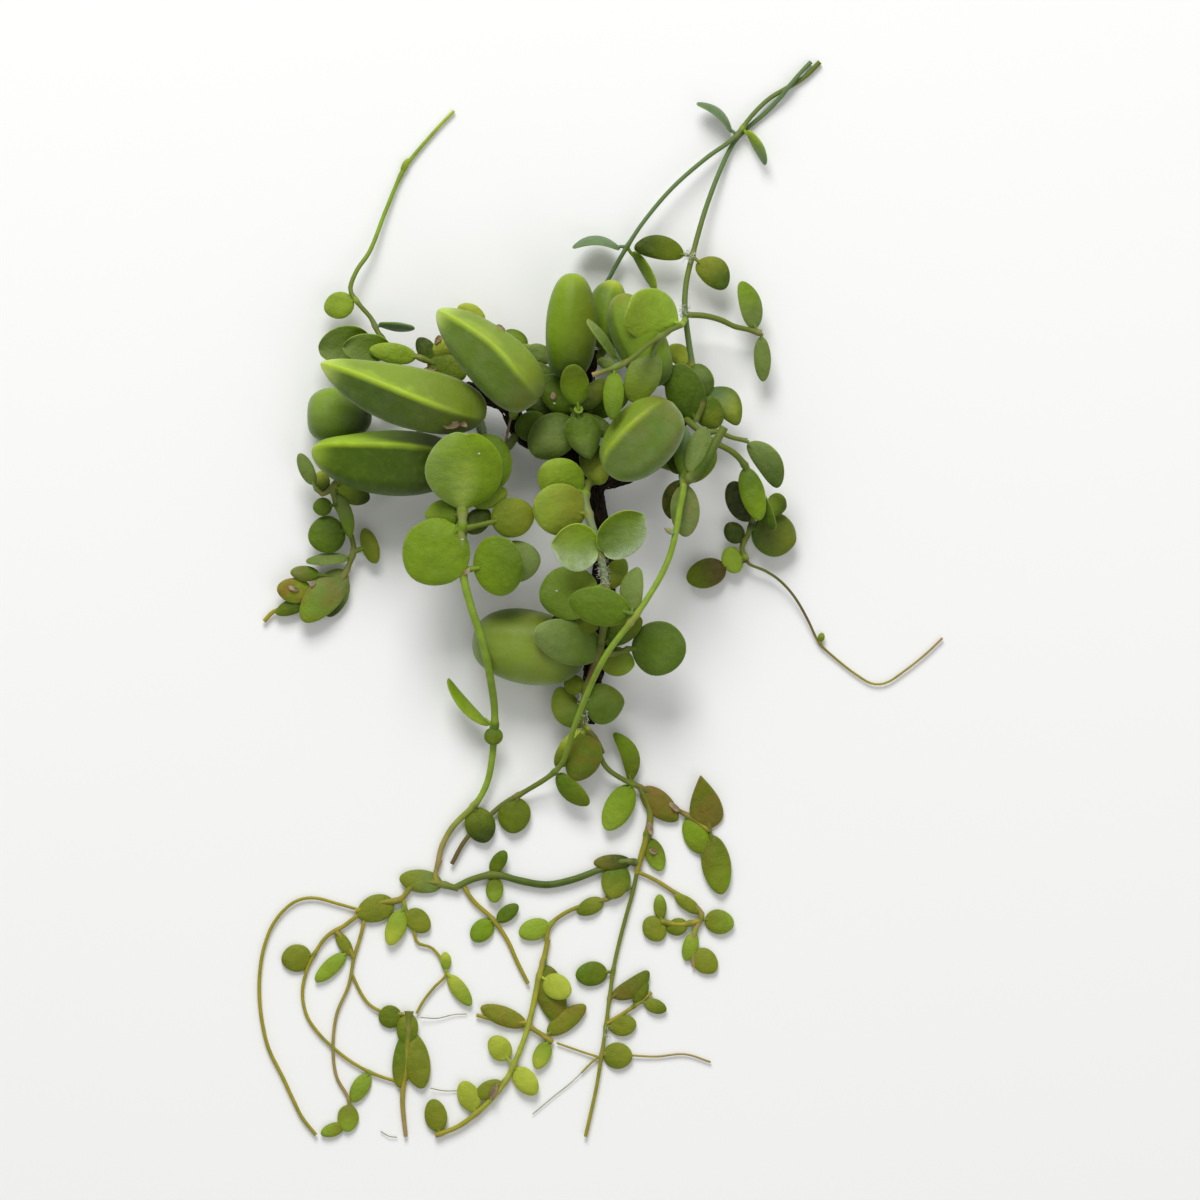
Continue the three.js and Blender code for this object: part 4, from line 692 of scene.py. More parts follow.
crownSprigLeft = {"node": "crown_sprig_left", "slot": "shaded_leaf", "stems": [
    stem([(-5, 53, 9), (-6.6, 54.6, 16), (-7, 55.4, 21), (-6.4, 57, 25)], [1.4, 1.2], "twig apple",
          slim=0.9),
], "leaves": [
    crownLeaf((-6.8, 55, 16), (-17, 67, 16), 10.4, 2, "deep"),
    leaf((-7, 55.6, 25), (-8.4, 70, 30.8), 9.2, 1, "leaf olive", sideShade=0.3),
    crownLeaf((-6.8, 54, 15), (-25.6, 51, 15), 9.6, 9, "deep moss"),
    crownLeaf((-7, 53, 20), (-20.4, 43.6, 21), 13.8, 1.5, "grey", dome=0.14),
    crownLeaf((-5.6, 56.4, 24), (-3, 42, 24), 11.4, 0.6, "deep grey", point=0.8),
    crownLeaf((-5.4, 56.4, 21), (1.6, 66, 19), 6.6, 2, "shade khaki"),
    crownLeaf((-6, 53.6, 14), (0.6, 34.6, 18.4), 9, 7, "shade lime"),
    crownLeaf((-6.8, 54.4, 14), (-21.4, 71.4, 11), 9.2, 3, "olive"),
    crownLeaf((-6.6, 53.4, 12.6), (-23, 59, 11), 8, 3, "shade"),
    crownLeaf((-6, 54, 15), (9, 63.6, 14.6), 9.3, 3, "deep"),
    crownLeaf((-6, 55, 18), (4, 49.4, 20), 6.2, 1, "olive grey"),
]}
crownSprigRight = {"node": "crown_sprig_right", "slot": "shaded_leaf", "stems": [
    stem([(26.6, 65, 9), (29, 62.6, 14), (30.6, 59, 15.6), (28.6, 53.4, 15.4)], [1.2, 1], "brown twig",
          slim=0.9),
], "leaves": [
    crownLeaf((28.4, 53, 15.6), (22.6, 70.6, 18.6), 12.4, 0.6, "moss deep"),
    crownLeaf((30.4, 60, 15.4), (29, 71, 13), 9.2, 0.6, "shade grey"),
    crownLeaf((30.2, 61, 15), (35.4, 51.4, 13.6), 9.3, 0.6, "deep khaki"),
    crownLeaf((30, 62, 15), (42, 52.6, 11), 9.2, 1, "blue lime", bow=2.8),
]}
crownSprigBack = {"node": "crown_sprig_back", "slot": "shaded_leaf", "stems": [
    stem([(-5, 61, 9), (-11, 69, 7), (-18, 74, 6), (-28, 78.6, 5.4), (-34, 82, 5.4)], [1.1, 1, 0.8],
          "brown twig", slim=0.9),
], "leaves": [
    leaf((-34, 81, 5.4), (-42.6, 88.2, 6.6), 7.2, 1, "lime", edge=0.2, sideShade=0),
    crownLeaf((-22, 75, 5.6), (-29, 80.4, 6.4), 6.2, 0.6, "fresh"),
    leaf((-14, 71, 6), (-21.6, 76, 7), 6, 0.6, "grey"),
]}
runnerUpperLeft = {"node": "runner_upper_left", "slot": "shaded_leaf", "stems": [
    stem([(-44, 63, 8.8), (-47, 69, 12), (-54, 72.6, 13), (-62, 75.4, 11.4), (-66.4, 80, 9),
          (-68.6, 84.4, 8.4), (-72.5, 89, 7.6), (-74.9, 93, 6.6), (-73.2, 98.6, 5.4), (-69.2, 104.7, 4),
          (-64.5, 116.8, 2.2), (-59.4, 128.8, 1.2), (-57, 132.4, 1), (-49, 141.8, 0.8),
          (-43.9, 147.1, 0.8)], [1, 0.9, 0.85, 0.75, 0.7, 0.55], "twig twig twig apple apple lime",
          slim=0.85),
], "leaves": [
    leaf((-73.4, 89.6, 7.6), (-82.8, 87, 7.4), 8.6, 0.6, "fresh", edge=0.5),
    leaf((-67.6, 82.6, 8.8), (-55.5, 81, 10.6), 6.4, 1, "blue", roll=70),
    leaf((-67, 77.8, 9.4), (-84.4, 74.8, 8), 12, 3, "deep grey", dome=-0.16, edge=1, bend=-0.04),
    leaf((-62, 75.6, 11.6), (-77.2, 75.6, 13), 9.3, 1, "deep grey", dome=-0.18, edge=1, bend=-0.04),
    leaf((-54, 72.6, 13), (-69, 75, 15.6), 6.6, 1, "fresh"),
    leaf((-49, 70.6, 12.4), (-54.6, 78.6, 12), 6, 0.6, "moss shade"),
    leaf((-47, 69, 12), (-47.6, 78.8, 13.4), 6.4, 1, "shade lime"),
    leaf((-54, 70, 12.8), (-40, 67, 13.6), 8.8, 1, "olive fresh"),
    leaf((-60, 128.4, 1.3), (-57.6, 132.8, 1.6), 2.2, 0.6, "fresh lime"),
]}
twiningStems = {"node": "twining_stems", "slot": "twiner", "stems": [
    stem([(-3, 71, 8.4), (-1.4, 80, 3), (0, 88, 2), (1, 93, 2.4), (4, 99, 4), (8.2, 106.2, 6),
          (13, 113.4, 6.4), (21.7, 123.7, 6), (32, 132.8, 4.4), (40.4, 139, 3.2), (46, 146, 2.6),
          (51, 150.8, 1.8), (56.6, 154.2, 1), (61.4, 157.2, 0.9), (66.1, 161.8, 0.9)],
          [0.8, 0.7, 0.7, 0.75, 0.8], "dusk dusk twig", slim=0.92),
    stem([(26.6, 66, 9), (27.4, 71, 12), (26.6, 77, 12.6), (25.6, 85, 12.4), (25.4, 90, 11.6),
          (26, 96, 10), (27.8, 103.6, 8), (31.5, 116.8, 5), (35.8, 128.4, 3), (40.2, 137.4, 1.4),
          (44, 141.6, 1), (49.6, 146.4, 1), (53.6, 150.4, 1.8), (56.8, 154.4, 2.6), (60.4, 158.6, 1.8),
          (63.4, 161.8, 1)], [1, 0.95, 0.85, 0.75, 0.75], "dusk twig dusk dusk", slim=0.92),
    stem([(25.6, 85.4, 12.4), (31, 85.2, 12), (36, 84, 11), (40.4, 82, 10), (44, 81.2, 9),
          (48.4, 80, 8.4)], [1.1, 0.9], "twig", slim=0.85),
], "leaves": [
    leaf((7.8, 105.6, 6), (-8.4, 106.2, 7.6), 8, 2, "blue", roll=68, bow=-2.2),
    leaf((8.4, 105.6, 6), (16.2, 92.4, 6), 6.4, 2, "deep fresh", roll=62, bow=1),
    leaf((27.4, 103, 8.2), (10.2, 105.8, 10.4), 7.6, 2.4, "olive shade", bow=-1.2),
    leaf((27.6, 103, 8), (38, 93.6, 8.8), 9.2, 2.2, "khaki moss", bow=1),
    leaf((41.4, 140.4, 3.4), (29.2, 149.6, 5.4), 6.4, 1.6, "blue", roll=68, bow=-1.8),
    leaf((44.4, 141.6, 2.6), (49.4, 130.4, 4), 5.6, 1.2, "fresh blue", roll=62, bow=1),
    leaf((47.4, 80.4, 8.6), (42.6, 95.8, 9), 7.6, 1, "grey leaf", roll=20, bow=-0.6),
    leaf((48, 80, 8.4), (49, 65.4, 7), 5.4, 1, "grey"),
    leaf((27, 70.5, 12), (20.6, 76, 13), 6.4, 0.6, "lime"),
]}
frontSprig = {"node": "front_sprig", "slot": "coin_leaf", "stems": [
    stem([(25.6, 84.6, 12.4), (24.6, 82.6, 18), (20.4, 80.2, 24), (14, 75.8, 31), (9, 71.5, 35),
          (4, 69, 37), (-2.3, 66.8, 37.6)], [1, 0.95, 0.95],
          "twig apple twig twig twig twig twig twig twig twig twig tan", slim=0.84),
], "leaves": [
    leaf((24.8, 82.6, 18.6), (8.6, 87, 33), 16.8, 0.3, "lit fresh", point=0.4, edge=0.5, bloom=0.05),
    leaf((18, 77.6, 27), (9.4, 58.8, 25), 10.8, 4.6, "grey fresh"),
    leaf((4, 69, 37), (3.8, 53.4, 40.4), 6.4, 1, "leaf deep"),
    leaf((6, 70.2, 36), (-3.4, 83.8, 35.6), 6, 2, "moss grey", roll=62),
    leaf((5.2, 70, 36.6), (-0.8, 71, 38), 3.6, 1, "grey shade"),
]}
trailRight = {"node": "trail_right", "slot": "trailing", "stems": [
    stem([(-0.6, -45.4, 7), (2, -50.4, 5), (6.8, -53.8, 3.6), (12, -56.2, 2.4), (16, -58.6, 1.6),
          (21, -62, 1.2), (26, -64.6, 1.2), (33, -69.4, 1.4)], [0.9, 0.9, 0.8], "twig twig brown gold",
          slim=0.85),
    stem([(12, -56.2, 2.4), (15, -63.6, 1.5), (14.4, -70, 1.5), (12.4, -77, 1.4), (11, -82.4, 1.1)],
          [0.9, 1.3, 0.9], "twig gold", slim=0.85),
], "leaves": [
    leaf((10.4, -54.6, 3.4), (4.2, -39.8, 5.2), 5.8, 0.6, "olive leaf", bow=-2.4),
    leaf((9.2, -55.4, 3), (1.8, -69.2, 3.6), 9, 0.6, "leaf fresh"),
    leaf((11.6, -57, 2), (23.4, -66.4, 1.6), 8, 0.6, "bronze olive", flush=0.4),
    leaf((33.6, -70.4, 1.8), (30.2, -52.6, 4.4), 11, 0.4, "bronze olive", point=1.1, flush=0.35),
    leaf((26, -65, 1.6), (31.4, -76.4, 1.6), 8, 0.6, "leaf", flush=0.15),
    leaf((33, -70, 1.8), (36.6, -88.6, 2.6), 9.3, 1.2, "olive leaf", flush=0.2),
    leaf((14.6, -70, 1.4), (18.4, -81.6, 1.6), 6.2, 1.2, "olive fresh"),
]}
trailFarRight = {"node": "trail_far_right", "slot": "trailing", "stems": [
    stem([(11.2, -81.6, 1.2), (17, -84.4, 0.9), (22, -87.6, 0.9), (28, -91.4, 1), (30.6, -94.8, 1.2),
          (28.6, -99.4, 1.2), (27.8, -105, 1), (28.2, -110.4, 0.9)], [0.7, 0.9, 0.8], "gold tan",
          slim=0.8),
    stem([(29.8, -96.6, 1.2), (24, -97.6, 1.3), (18.4, -96.6, 1.3)], [1, 0.9], "gold", slim=0.8),
], "leaves": [
    leaf((19.6, -96.4, 1.3), (13.2, -100.6, 1.6), 8.6, 0.4, "khaki"),
    leaf((19, -96.4, 1.3), (17.8, -88.4, 1.8), 4.2, 0.6, "khaki fresh"),
    leaf((26.6, -97.2, 1.3), (20, -99.2, 1.4), 5.6, 0.6, "khaki olive"),
    leaf((30, -94.4, 1.2), (22.4, -88.6, 2), 4.2, 0.6, "khaki"),
    leaf((30.4, -95.4, 1.3), (40.3, -97.6, 2), 7.8, 1, "khaki fresh"),
    leaf((28.2, -99.8, 1.3), (25.8, -108.6, 1.4), 5, 0.6, "fresh"),
    leaf((28, -104.4, 1.2), (34.8, -111.8, 1.6), 7.6, 0.8, "khaki"),
]}
trailBottomRight = {"node": "trail_bottom_right", "slot": "trailing", "stems": [
    stem([(11.4, -80.4, 1.2), (9.8, -88, 1), (8.4, -93, 1), (6, -102, 1), (4.2, -110, 1), (2.8, -120, 1),
          (1.5, -130, 1), (0.3, -138, 1), (-1, -146, 1), (-4.4, -161.4, 1)], [0.9, 0.85, 0.8, 0.75],
          "twig khaki gold", slim=0.7),
    stem([(2, -127.4, 1), (6.6, -124.6, 1), (11, -121.6, 1), (15.6, -118, 0.9)], [0.8, 0.6], "gold",
          slim=0.8),
    stem([(0.6, -136, 1), (9, -136.9, 0.8), (17, -137.3, 0.6), (25.6, -136.6, 0.6), (33.3, -139, 0.6)],
          [0.6, 0.5, 0.5], "gold tan", slim=0.6),
    stem([(0.2, -137.6, 1), (-5, -136, 0.7), (-13, -133.2, 0.7)], [0.6, 0.5], "gold", slim=0.6),
    stem([(0.4, -137, 1), (-2, -138.6, 0.8), (-5.6, -142.2, 0.6)], [0.6, 0.5], "gold", slim=0.6),
], "leaves": [
    leaf((3.6, -111.6, 1.2), (-7.4, -113, 2), 7.8, 1.6, "olive deep"),
    leaf((3.2, -119.4, 1.2), (14.8, -111.6, 2), 6, 1, "bronze olive", bow=-1.2),
    leaf((9.6, -122.4, 1.2), (14.2, -114.6, 1.8), 4, 0.6, "olive"),
    leaf((12.6, -120.8, 1.2), (20, -123.4, 1.6), 4.6, 1, "khaki olive"),
    leaf((1.6, -129, 1.2), (11, -127.4, 1.6), 7, 0.8, "khaki"),
    leaf((0.4, -136.6, 1.2), (9.8, -137.4, 1.8), 8.4, 0.4, "khaki"),
]}
trailArc = {"node": "trail_arc", "slot": "trailing", "stems": [
    stem([(-43.4, -86.4, 1.2), (-38.4, -84, 1.3), (-31.4, -82.6, 1.3), (-24, -84.4, 1.3),
          (-16, -85.6, 1.3), (-8, -84, 1.3), (0, -81, 1.2), (6.4, -78.6, 1.1), (11.6, -79, 1.2)],
          [1, 1.1, 0.9], "twig moss twig"),
    stem([(-41.4, -85.6, 1), (-38, -90.6, 1), (-32.6, -95.6, 1), (-28, -102, 0.9), (-25, -108.6, 0.9),
          (-21.6, -115.4, 0.9)], [0.9, 0.8, 0.7], "gold gold", slim=0.8),
    stem([(9.4, -86.2, 1), (3, -89.6, 1), (-5, -91.8, 1), (-11, -94.4, 1), (-15, -97.8, 1),
          (-16.2, -102.6, 1.1)], [0.8, 0.8], "twig gold", slim=0.8),
], "leaves": [
    leaf((-32.4, -83.4, 1.4), (-28.4, -75.4, 3), 4.8, 0.6, "olive deep"),
    leaf((-32, -82.6, 1.4), (-31.8, -91, 2.6), 5.6, 0.8, "olive fresh"),
    leaf((6.6, -79, 1.4), (3.4, -89.8, 2.8), 9.2, 0.4, "deep khaki"),
    leaf((10.6, -78.8, 1.4), (-2, -79, 2.4), 5.2, 0.6, "shade bronze"),
    leaf((1.4, -90, 1.2), (-7, -94, 1.6), 5.4, 0.8, "khaki olive"),
    leaf((-32.4, -96, 1.2), (-38.4, -102.4, 1.8), 6.8, 0.6, "leaf"),
    leaf((-14.6, -97.4, 1.2), (-24.4, -100.6, 2), 6.8, 0.6, "fresh"),
    leaf((-31, -97, 1.2), (-24.6, -91.6, 2), 4.8, 0.6, "deep"),
]}
trailBottomMiddle = {"node": "trail_bottom_middle", "slot": "trailing", "stems": [
    stem([(-15.6, -102, 1.2), (-17, -108.5, 1.3), (-18.5, -114, 1.3), (-20.3, -122.9, 1.3),
          (-22.5, -131, 1.3), (-25, -137.5, 1.3), (-27.8, -143.6, 1.3), (-33, -150.4, 1.3),
          (-38, -155, 1.2), (-43, -158.5, 1.2), (-49.6, -161, 1.2)], [1, 1.1, 1, 1, 0.9],
          "gold lime gold", slim=0.8),
    stem([(-21.4, -127, 1.3), (-28, -127, 1), (-37.2, -124.8, 1)], [0.8, 0.7], "gold", slim=0.8),
    stem([(-21.6, -128, 1.3), (-17, -131, 1.2), (-14.2, -133, 1)], [0.9, 0.8], "gold", slim=0.8),
], "leaves": [
    leaf((-26.4, -140.4, 1.4), (-32.8, -131.4, 2.6), 7.2, 2.4, "lime"),
    leaf((-37.6, -154.4, 1.6), (-41.4, -144.6, 2.4), 7, 0.6, "lime"),
    leaf((-48.8, -160.6, 1.4), (-50.4, -150, 2.4), 7.2, 0.6, "khaki"),
    leaf((-28.6, -144.6, 1.4), (-37.4, -149.4, 1.8), 6, 0.4, "khaki"),
    leaf((-26.4, -140.6, 1.6), (-19.2, -148.6, 2.6), 7, 0.8, "lime"),
    leaf((-15.6, -132, 1.4), (-19.2, -141, 2), 5.6, 0.6, "fresh lime"),
    leaf((-18.2, -112.6, 1.6), (-9, -118.6, 5), 8, 1.4, "lime"),
    leaf((-17, -108.6, 1.4), (-12.4, -127.6, 1.8), 9.2, 0.8, "deep olive", flush=0.3),
    leaf((-22, -127.6, 1.3), (-36, -122.4, 2), 6.2, 0.6, "khaki", flush=0.3),
    leaf((-16.6, -130, 1.3), (-4.2, -121.8, 1.8), 6.4, 1, "khaki", flush=0.3),
]}
trailClusterLeft = {"node": "trail_cluster_left", "slot": "trailing", "stems": [
    stem([(-42.6, -86.8, 1.2), (-50, -85, 1.3), (-56, -85.6, 1.3), (-60, -90, 1.2), (-66, -91, 1.1),
          (-73.6, -93.6, 1)], [1.1, 1, 0.9], "twig gold", slim=0.85),
    stem([(-59.4, -89, 1.3), (-58.4, -93.4, 1.1), (-56, -99, 1), (-55, -103, 0.9), (-50.6, -104.6, 0.8),
          (-47.4, -108.6, 0.9), (-46.2, -112.4, 0.9), (-50, -116.6, 0.8), (-53.4, -121, 0.8),
          (-55.2, -124.4, 0.8)], [0.8, 0.6, 0.6], "gold gold", slim=0.7),
    stem([(-48, -78, 1.3), (-49.6, -83, 1.3), (-48.4, -86, 1.2)], [0.9, 0.9], "tan gold", slim=0.85),
], "leaves": [
    leaf((-46.4, -86.6, 1.4), (-60.4, -83.6, 2), 7.4, 0.6, "grey khaki"),
    leaf((-61.6, -91, 1.4), (-73, -95, 1.8), 8.6, 0.6, "khaki"),
    leaf((-59.4, -92, 1.4), (-63.4, -103.8, 2.6), 6.4, 1.4, "fresh lime"),
    leaf((-57.8, -93.6, 1.4), (-51.4, -99.4, 1.8), 7.2, 0.6, "khaki"),
    leaf((-46.8, -111.6, 1.1), (-46.6, -105.8, 1.6), 3.6, 0.6, "fresh lime"),
    leaf((-46.4, -112.4, 1.1), (-38.8, -122, 1.8), 5, 1, "lime fresh"),
]}
trailOuterLeft = {"node": "trail_outer_left", "slot": "trailing", "stems": [
    stem([(-73, -93, 1), (-79, -91.3, 0.9), (-85.9, -89.6, 0.9), (-90.6, -90.2, 0.9),
          (-94.6, -92.8, 0.9), (-98.6, -98, 0.9), (-101.2, -105, 0.9), (-102.3, -112, 0.9),
          (-102.4, -120, 0.9), (-101.4, -128, 0.9), (-99.6, -135, 0.9), (-95.3, -143.7, 0.9),
          (-92.4, -150, 0.9), (-89.6, -155.6, 0.9), (-85.4, -160.9, 0.9)], [0.6, 0.75, 0.75], "gold",
          slim=0.74),
], "leaves": []}
trailInnerLeft = {"node": "trail_inner_left", "slot": "trailing", "stems": [
    stem([(-72.6, -94.6, 1), (-77, -98, 0.9), (-82, -101, 0.9), (-85.4, -105.6, 0.9), (-88.4, -112, 0.8),
          (-89.5, -118.6, 0.8), (-88, -125.4, 0.8), (-84, -131, 0.8), (-80, -134.8, 0.8),
          (-74.6, -139, 0.8), (-68, -142.5, 0.8), (-60, -145.2, 0.9)], [0.8, 0.65, 0.6, 0.6], "gold",
          slim=0.8),
    stem([(-70.6, -95, 1), (-72, -101, 0.9), (-74, -107.6, 0.9), (-75.5, -115.6, 0.8),
          (-79.2, -124.6, 0.8), (-80.3, -135, 0.8), (-79.2, -143.4, 0.8), (-75.4, -150.8, 0.8),
          (-76.6, -158, 0.8)], [0.7, 0.6, 0.6], "gold tan", slim=0.8),
    stem([(-79.4, -99.6, 0.9), (-76.4, -103.4, 0.9), (-74, -107.6, 0.9)], [0.9, 0.9], "gold", slim=0.8),
    stem([(-74.8, -112, 0.9), (-72, -118, 0.8), (-69.4, -121.6, 0.8), (-66, -123.6, 0.9),
          (-59, -124.6, 1)], [0.6, 0.6], "gold", slim=0.8),
    stem([(-57.4, -123.6, 1.5), (-57.8, -132, 1.5), (-58.6, -142, 1.4), (-59.4, -150, 0.9),
          (-58.4, -161.4, 0.8)], [1.3, 1, 0.7], "twig gold tan", slim=0.85),
], "leaves": [
    leaf((-85.8, -107, 1), (-95.8, -108.6, 1.6), 8.8, 0.8, "khaki"),
    leaf((-79.4, -100, 1), (-74.6, -107, 1.4), 4, 0.4, "khaki"),
    leaf((-76.4, -105, 1.1), (-85.6, -114.8, 1.6), 5.2, 1.6, "fresh"),
    leaf((-69.2, -141.6, 1), (-74.6, -151, 1.4), 5.6, 0.6, "fresh"),
    leaf((-75.4, -151, 1), (-76.2, -160, 1.4), 6.8, 0.6, "khaki fresh"),
    leaf((-76.6, -157.8, 1), (-84, -160.6, 1.4), 4.4, 0.4, "khaki fresh"),
    leaf((-58.6, -124.4, 1.2), (-66.6, -126, 1.6), 7.4, 0.6, "olive"),
    leaf((-57.6, -124, 1.3), (-58.4, -134, 1.8), 6.8, 0.6, "khaki deep"),
    leaf((-58, -129.6, 1.5), (-60.4, -146.8, 1.8), 6.8, 0.4, "deep khaki"),
    leaf((-57.6, -129, 1.5), (-53.4, -147, 2.2), 9, 0.4, "khaki"),
]}
leafyStems = [
    stemLeftFront, stemCentre, stemFront, stemRight, stemLeft, crownSprigLeft, crownSprigRight,
    crownSprigBack, runnerUpperLeft, twiningStems, frontSprig, trailRight, trailFarRight,
    trailBottomRight, trailArc, trailBottomMiddle, trailClusterLeft, trailOuterLeft, trailInnerLeft,
]

# Pitcher leaves are swollen bags with a sharp ridge along the top
pitcherForm = {
    "segments": 40,
    "rings": 26,
    "ridgeFlats": 300,  # degrees from the ridge to a flat, for a rise of 1
    "sharpRise": 0.1,  # a ridge that rises more is creased and parts the tones
    "dent": 0.03,
    "dentScale": 0.07,
    "crease": 0.9,
    "creaseSpan": (0.04, 0.97),  # shares of the length
    "highlightSpan": (0.1, 0.45),
    "softSides": 0.9,  # radians over which a round back blends its painted lit and shaded tones
    "tipTone": 0.2,
}
pitcherLooks = {  # what a pitcher has unless its lines say otherwise
    "slot": "pitcher", "rise": 0.13, "highlight": 0.0, "shadeBloom": 0.0, "flush": 0.0, "rootReach": 0.3,
}
pitchers = [  # tones of the painted lit side and shaded side, of the root (darker, painted shade) and of the tip
    {"node": "pitcher_upper_left", "width": 18.8, "depth": 16.6,
     "path": [(-34, 56, 24), (-50, 58.8, 28.5), (-67, 63.4, 28.5), (-83.4, 70.6, 25)],
     "stalk": stem([(-38, 57, 24), (-36, 53, 22), (-34.8, 48, 20.5), (-34, 42.5, 20.5)], [1.6, 1.3], "pale"),
     "blunt": 0.42, "point": 0.68, "ridge": [-30, -16, -6, 2, 9, 14, 14, 8],
     "highlight": 0.9, "bloom": 0.14, "shadeBloom": 0.04, "rootReach": 0.6, "tones": "plane moss olive rim"},
    {"node": "pitcher_middle_left", "width": 20, "depth": 18,
     "path": [(-42.5, 41, 18), (-60, 41, 18.6), (-75, 42.1, 18.6), (-86.2, 45, 17.4)],
     "stalk": stem([(-46, 40.5, 19), (-42.5, 38, 22), (-39, 35.5, 27)], [1.6, 1.3], "apple"),
     "blunt": 0.36, "point": 0.52, "ridge": [22, 27, 30, 32, 33, 27],
     "highlight": 0.6, "bloom": 0.04, "rootReach": 0.7, "tones": "lit moss shade fresh"},
    {"node": "pitcher_upper_centre", "width": 18.8, "depth": 17.6,
     "path": [(-19.8, 58.6, 28), (-29, 69, 31), (-38.6, 77.8, 31.5), (-48.4, 86.4, 29)],
     "stalk": stem([(-24, 62, 26), (-25.5, 58, 18), (-26, 54.5, 9)], [1.7, 1.5], "apple"),
     "blunt": 0.32, "point": 0.6, "ridge": [10, 13, 13, 17, 20, 17, 12, 5],
     "highlight": 0.75, "bloom": 0.13, "shadeBloom": 0.12, "flush": 0.1, "tones": "plane deep olive rim"},
    {"node": "pitcher_top", "width": 15.6, "depth": 14, "rise": 0.03,
     "path": [(-10, 66.5, 20), (-8.8, 76, 22), (-8.4, 86, 23), (-8.3, 97.6, 22.5)],
     "stalk": stem([(-9.8, 70, 20), (-7, 66, 14), (-5, 63, 9)], [1.6, 1.3], "apple"),
     "blunt": 0.3, "point": 0.4, "ridge": [-20, 10],
     "bloom": 0.08, "rootReach": 0.5, "tones": "olive leaf moss fresh"},
    {"node": "pitcher_right", "width": 20.6, "depth": 18,
     "path": [(22.8, 57.2, 31), (15.8, 51.4, 32.5), (8.2, 43.9, 32.5), (1.8, 38.4, 31)],
     "stalk": stem([(18.5, 51, 29), (20, 50.5, 18), (20, 49.5, 9)], [1.7, 1.5], "apple"),
     "blunt": 0.38, "point": 0.42, "ridge": [30, 29, 27, 28, 29, 30, 24],
     "highlight": 0.55, "bloom": 0.06, "shadeBloom": 0.28, "flush": 0.25, "tones": "leaf deep olive leaf"},
    {"node": "pitcher_lower_left", "slot": "dark_pitcher", "width": 22.6, "depth": 21, "rise": 0.04,
     "path": [(-4.6, -18, 11), (-15, -15.4, 11.2), (-27, -13.2, 11.2), (-38.2, -11.8, 11)],
     "stalk": stem([(-8, -17, 10), (-4, -16.8, 8), (1, -16.5, 5)], [1.6, 1.4], "twig"),
     "blunt": 0.42, "point": 0.4, "ridge": [25, 20],
     "bloom": 0.16, "shadeBloom": 0.06, "flush": 0.15, "tones": "olive plane moss grey"},
    {"node": "pitcher_back_left", "slot": "dark_pitcher", "width": 16.8, "depth": 14, "rise": 0.03,
     "path": [(-68.6, 56.6, 7.8), (-74, 55.8, 8), (-81, 55.4, 8), (-87.8, 55.4, 7.8)],
     "stalk": stem([(-71, 56.5, 9), (-66, 60, 9), (-61, 63.5, 8.6), (-56, 65.4, 8.4)], [1.5, 1.3], "twig"),
     "blunt": 0.4, "point": 0.3, "ridge": [0, 0],
     "bloom": 0.24, "rootReach": 0.6, "tones": "leaf deep black grey"},
    {"node": "pitcher_back_top", "slot": "dark_pitcher", "width": 12.6, "depth": 11, "rise": 0.06,
     "path": [(2.2, 75, 9.6), (1.8, 82, 10), (2.4, 89, 10), (4.8, 95.8, 10)],
     "stalk": stem([(2.8, 78, 9), (0, 73.5, 8), (-3.4, 70, 8.4)], [1.4, 1.2], "twig"),
     "blunt": 0.4, "point": 0.48, "ridge": [0, 0],
     "highlight": 0.1, "bloom": 0.14, "tones": "leaf deep moss lime"},
    {"node": "pitcher_back_right", "slot": "dark_pitcher", "width": 15.4, "depth": 13, "rise": 0.08,
     "path": [(18.4, 64.6, 16.6), (13, 75, 20.5), (9, 83, 21.5), (5.8, 91.4, 21)],
     "stalk": stem([(16, 68, 17), (20, 65.2, 12), (26, 63.5, 9)], [1.5, 1.3], "twig"),
     "blunt": 0.4, "point": 0.45, "ridge": [-30, -38],
     "bloom": 0.1, "shadeBloom": 0.1, "rootReach": 0.4, "tones": "leaf deep moss khaki"},
]


def sectionRadius(turn, rise):
    flatAt = math.radians(pitcherForm["ridgeFlats"] * rise)
    flat = (1 + rise) * math.cos(flatAt) / max(math.cos(abs(turn) - flatAt), 1e-6)
    return flat if abs(turn) < flatAt else min(1.0, flat)


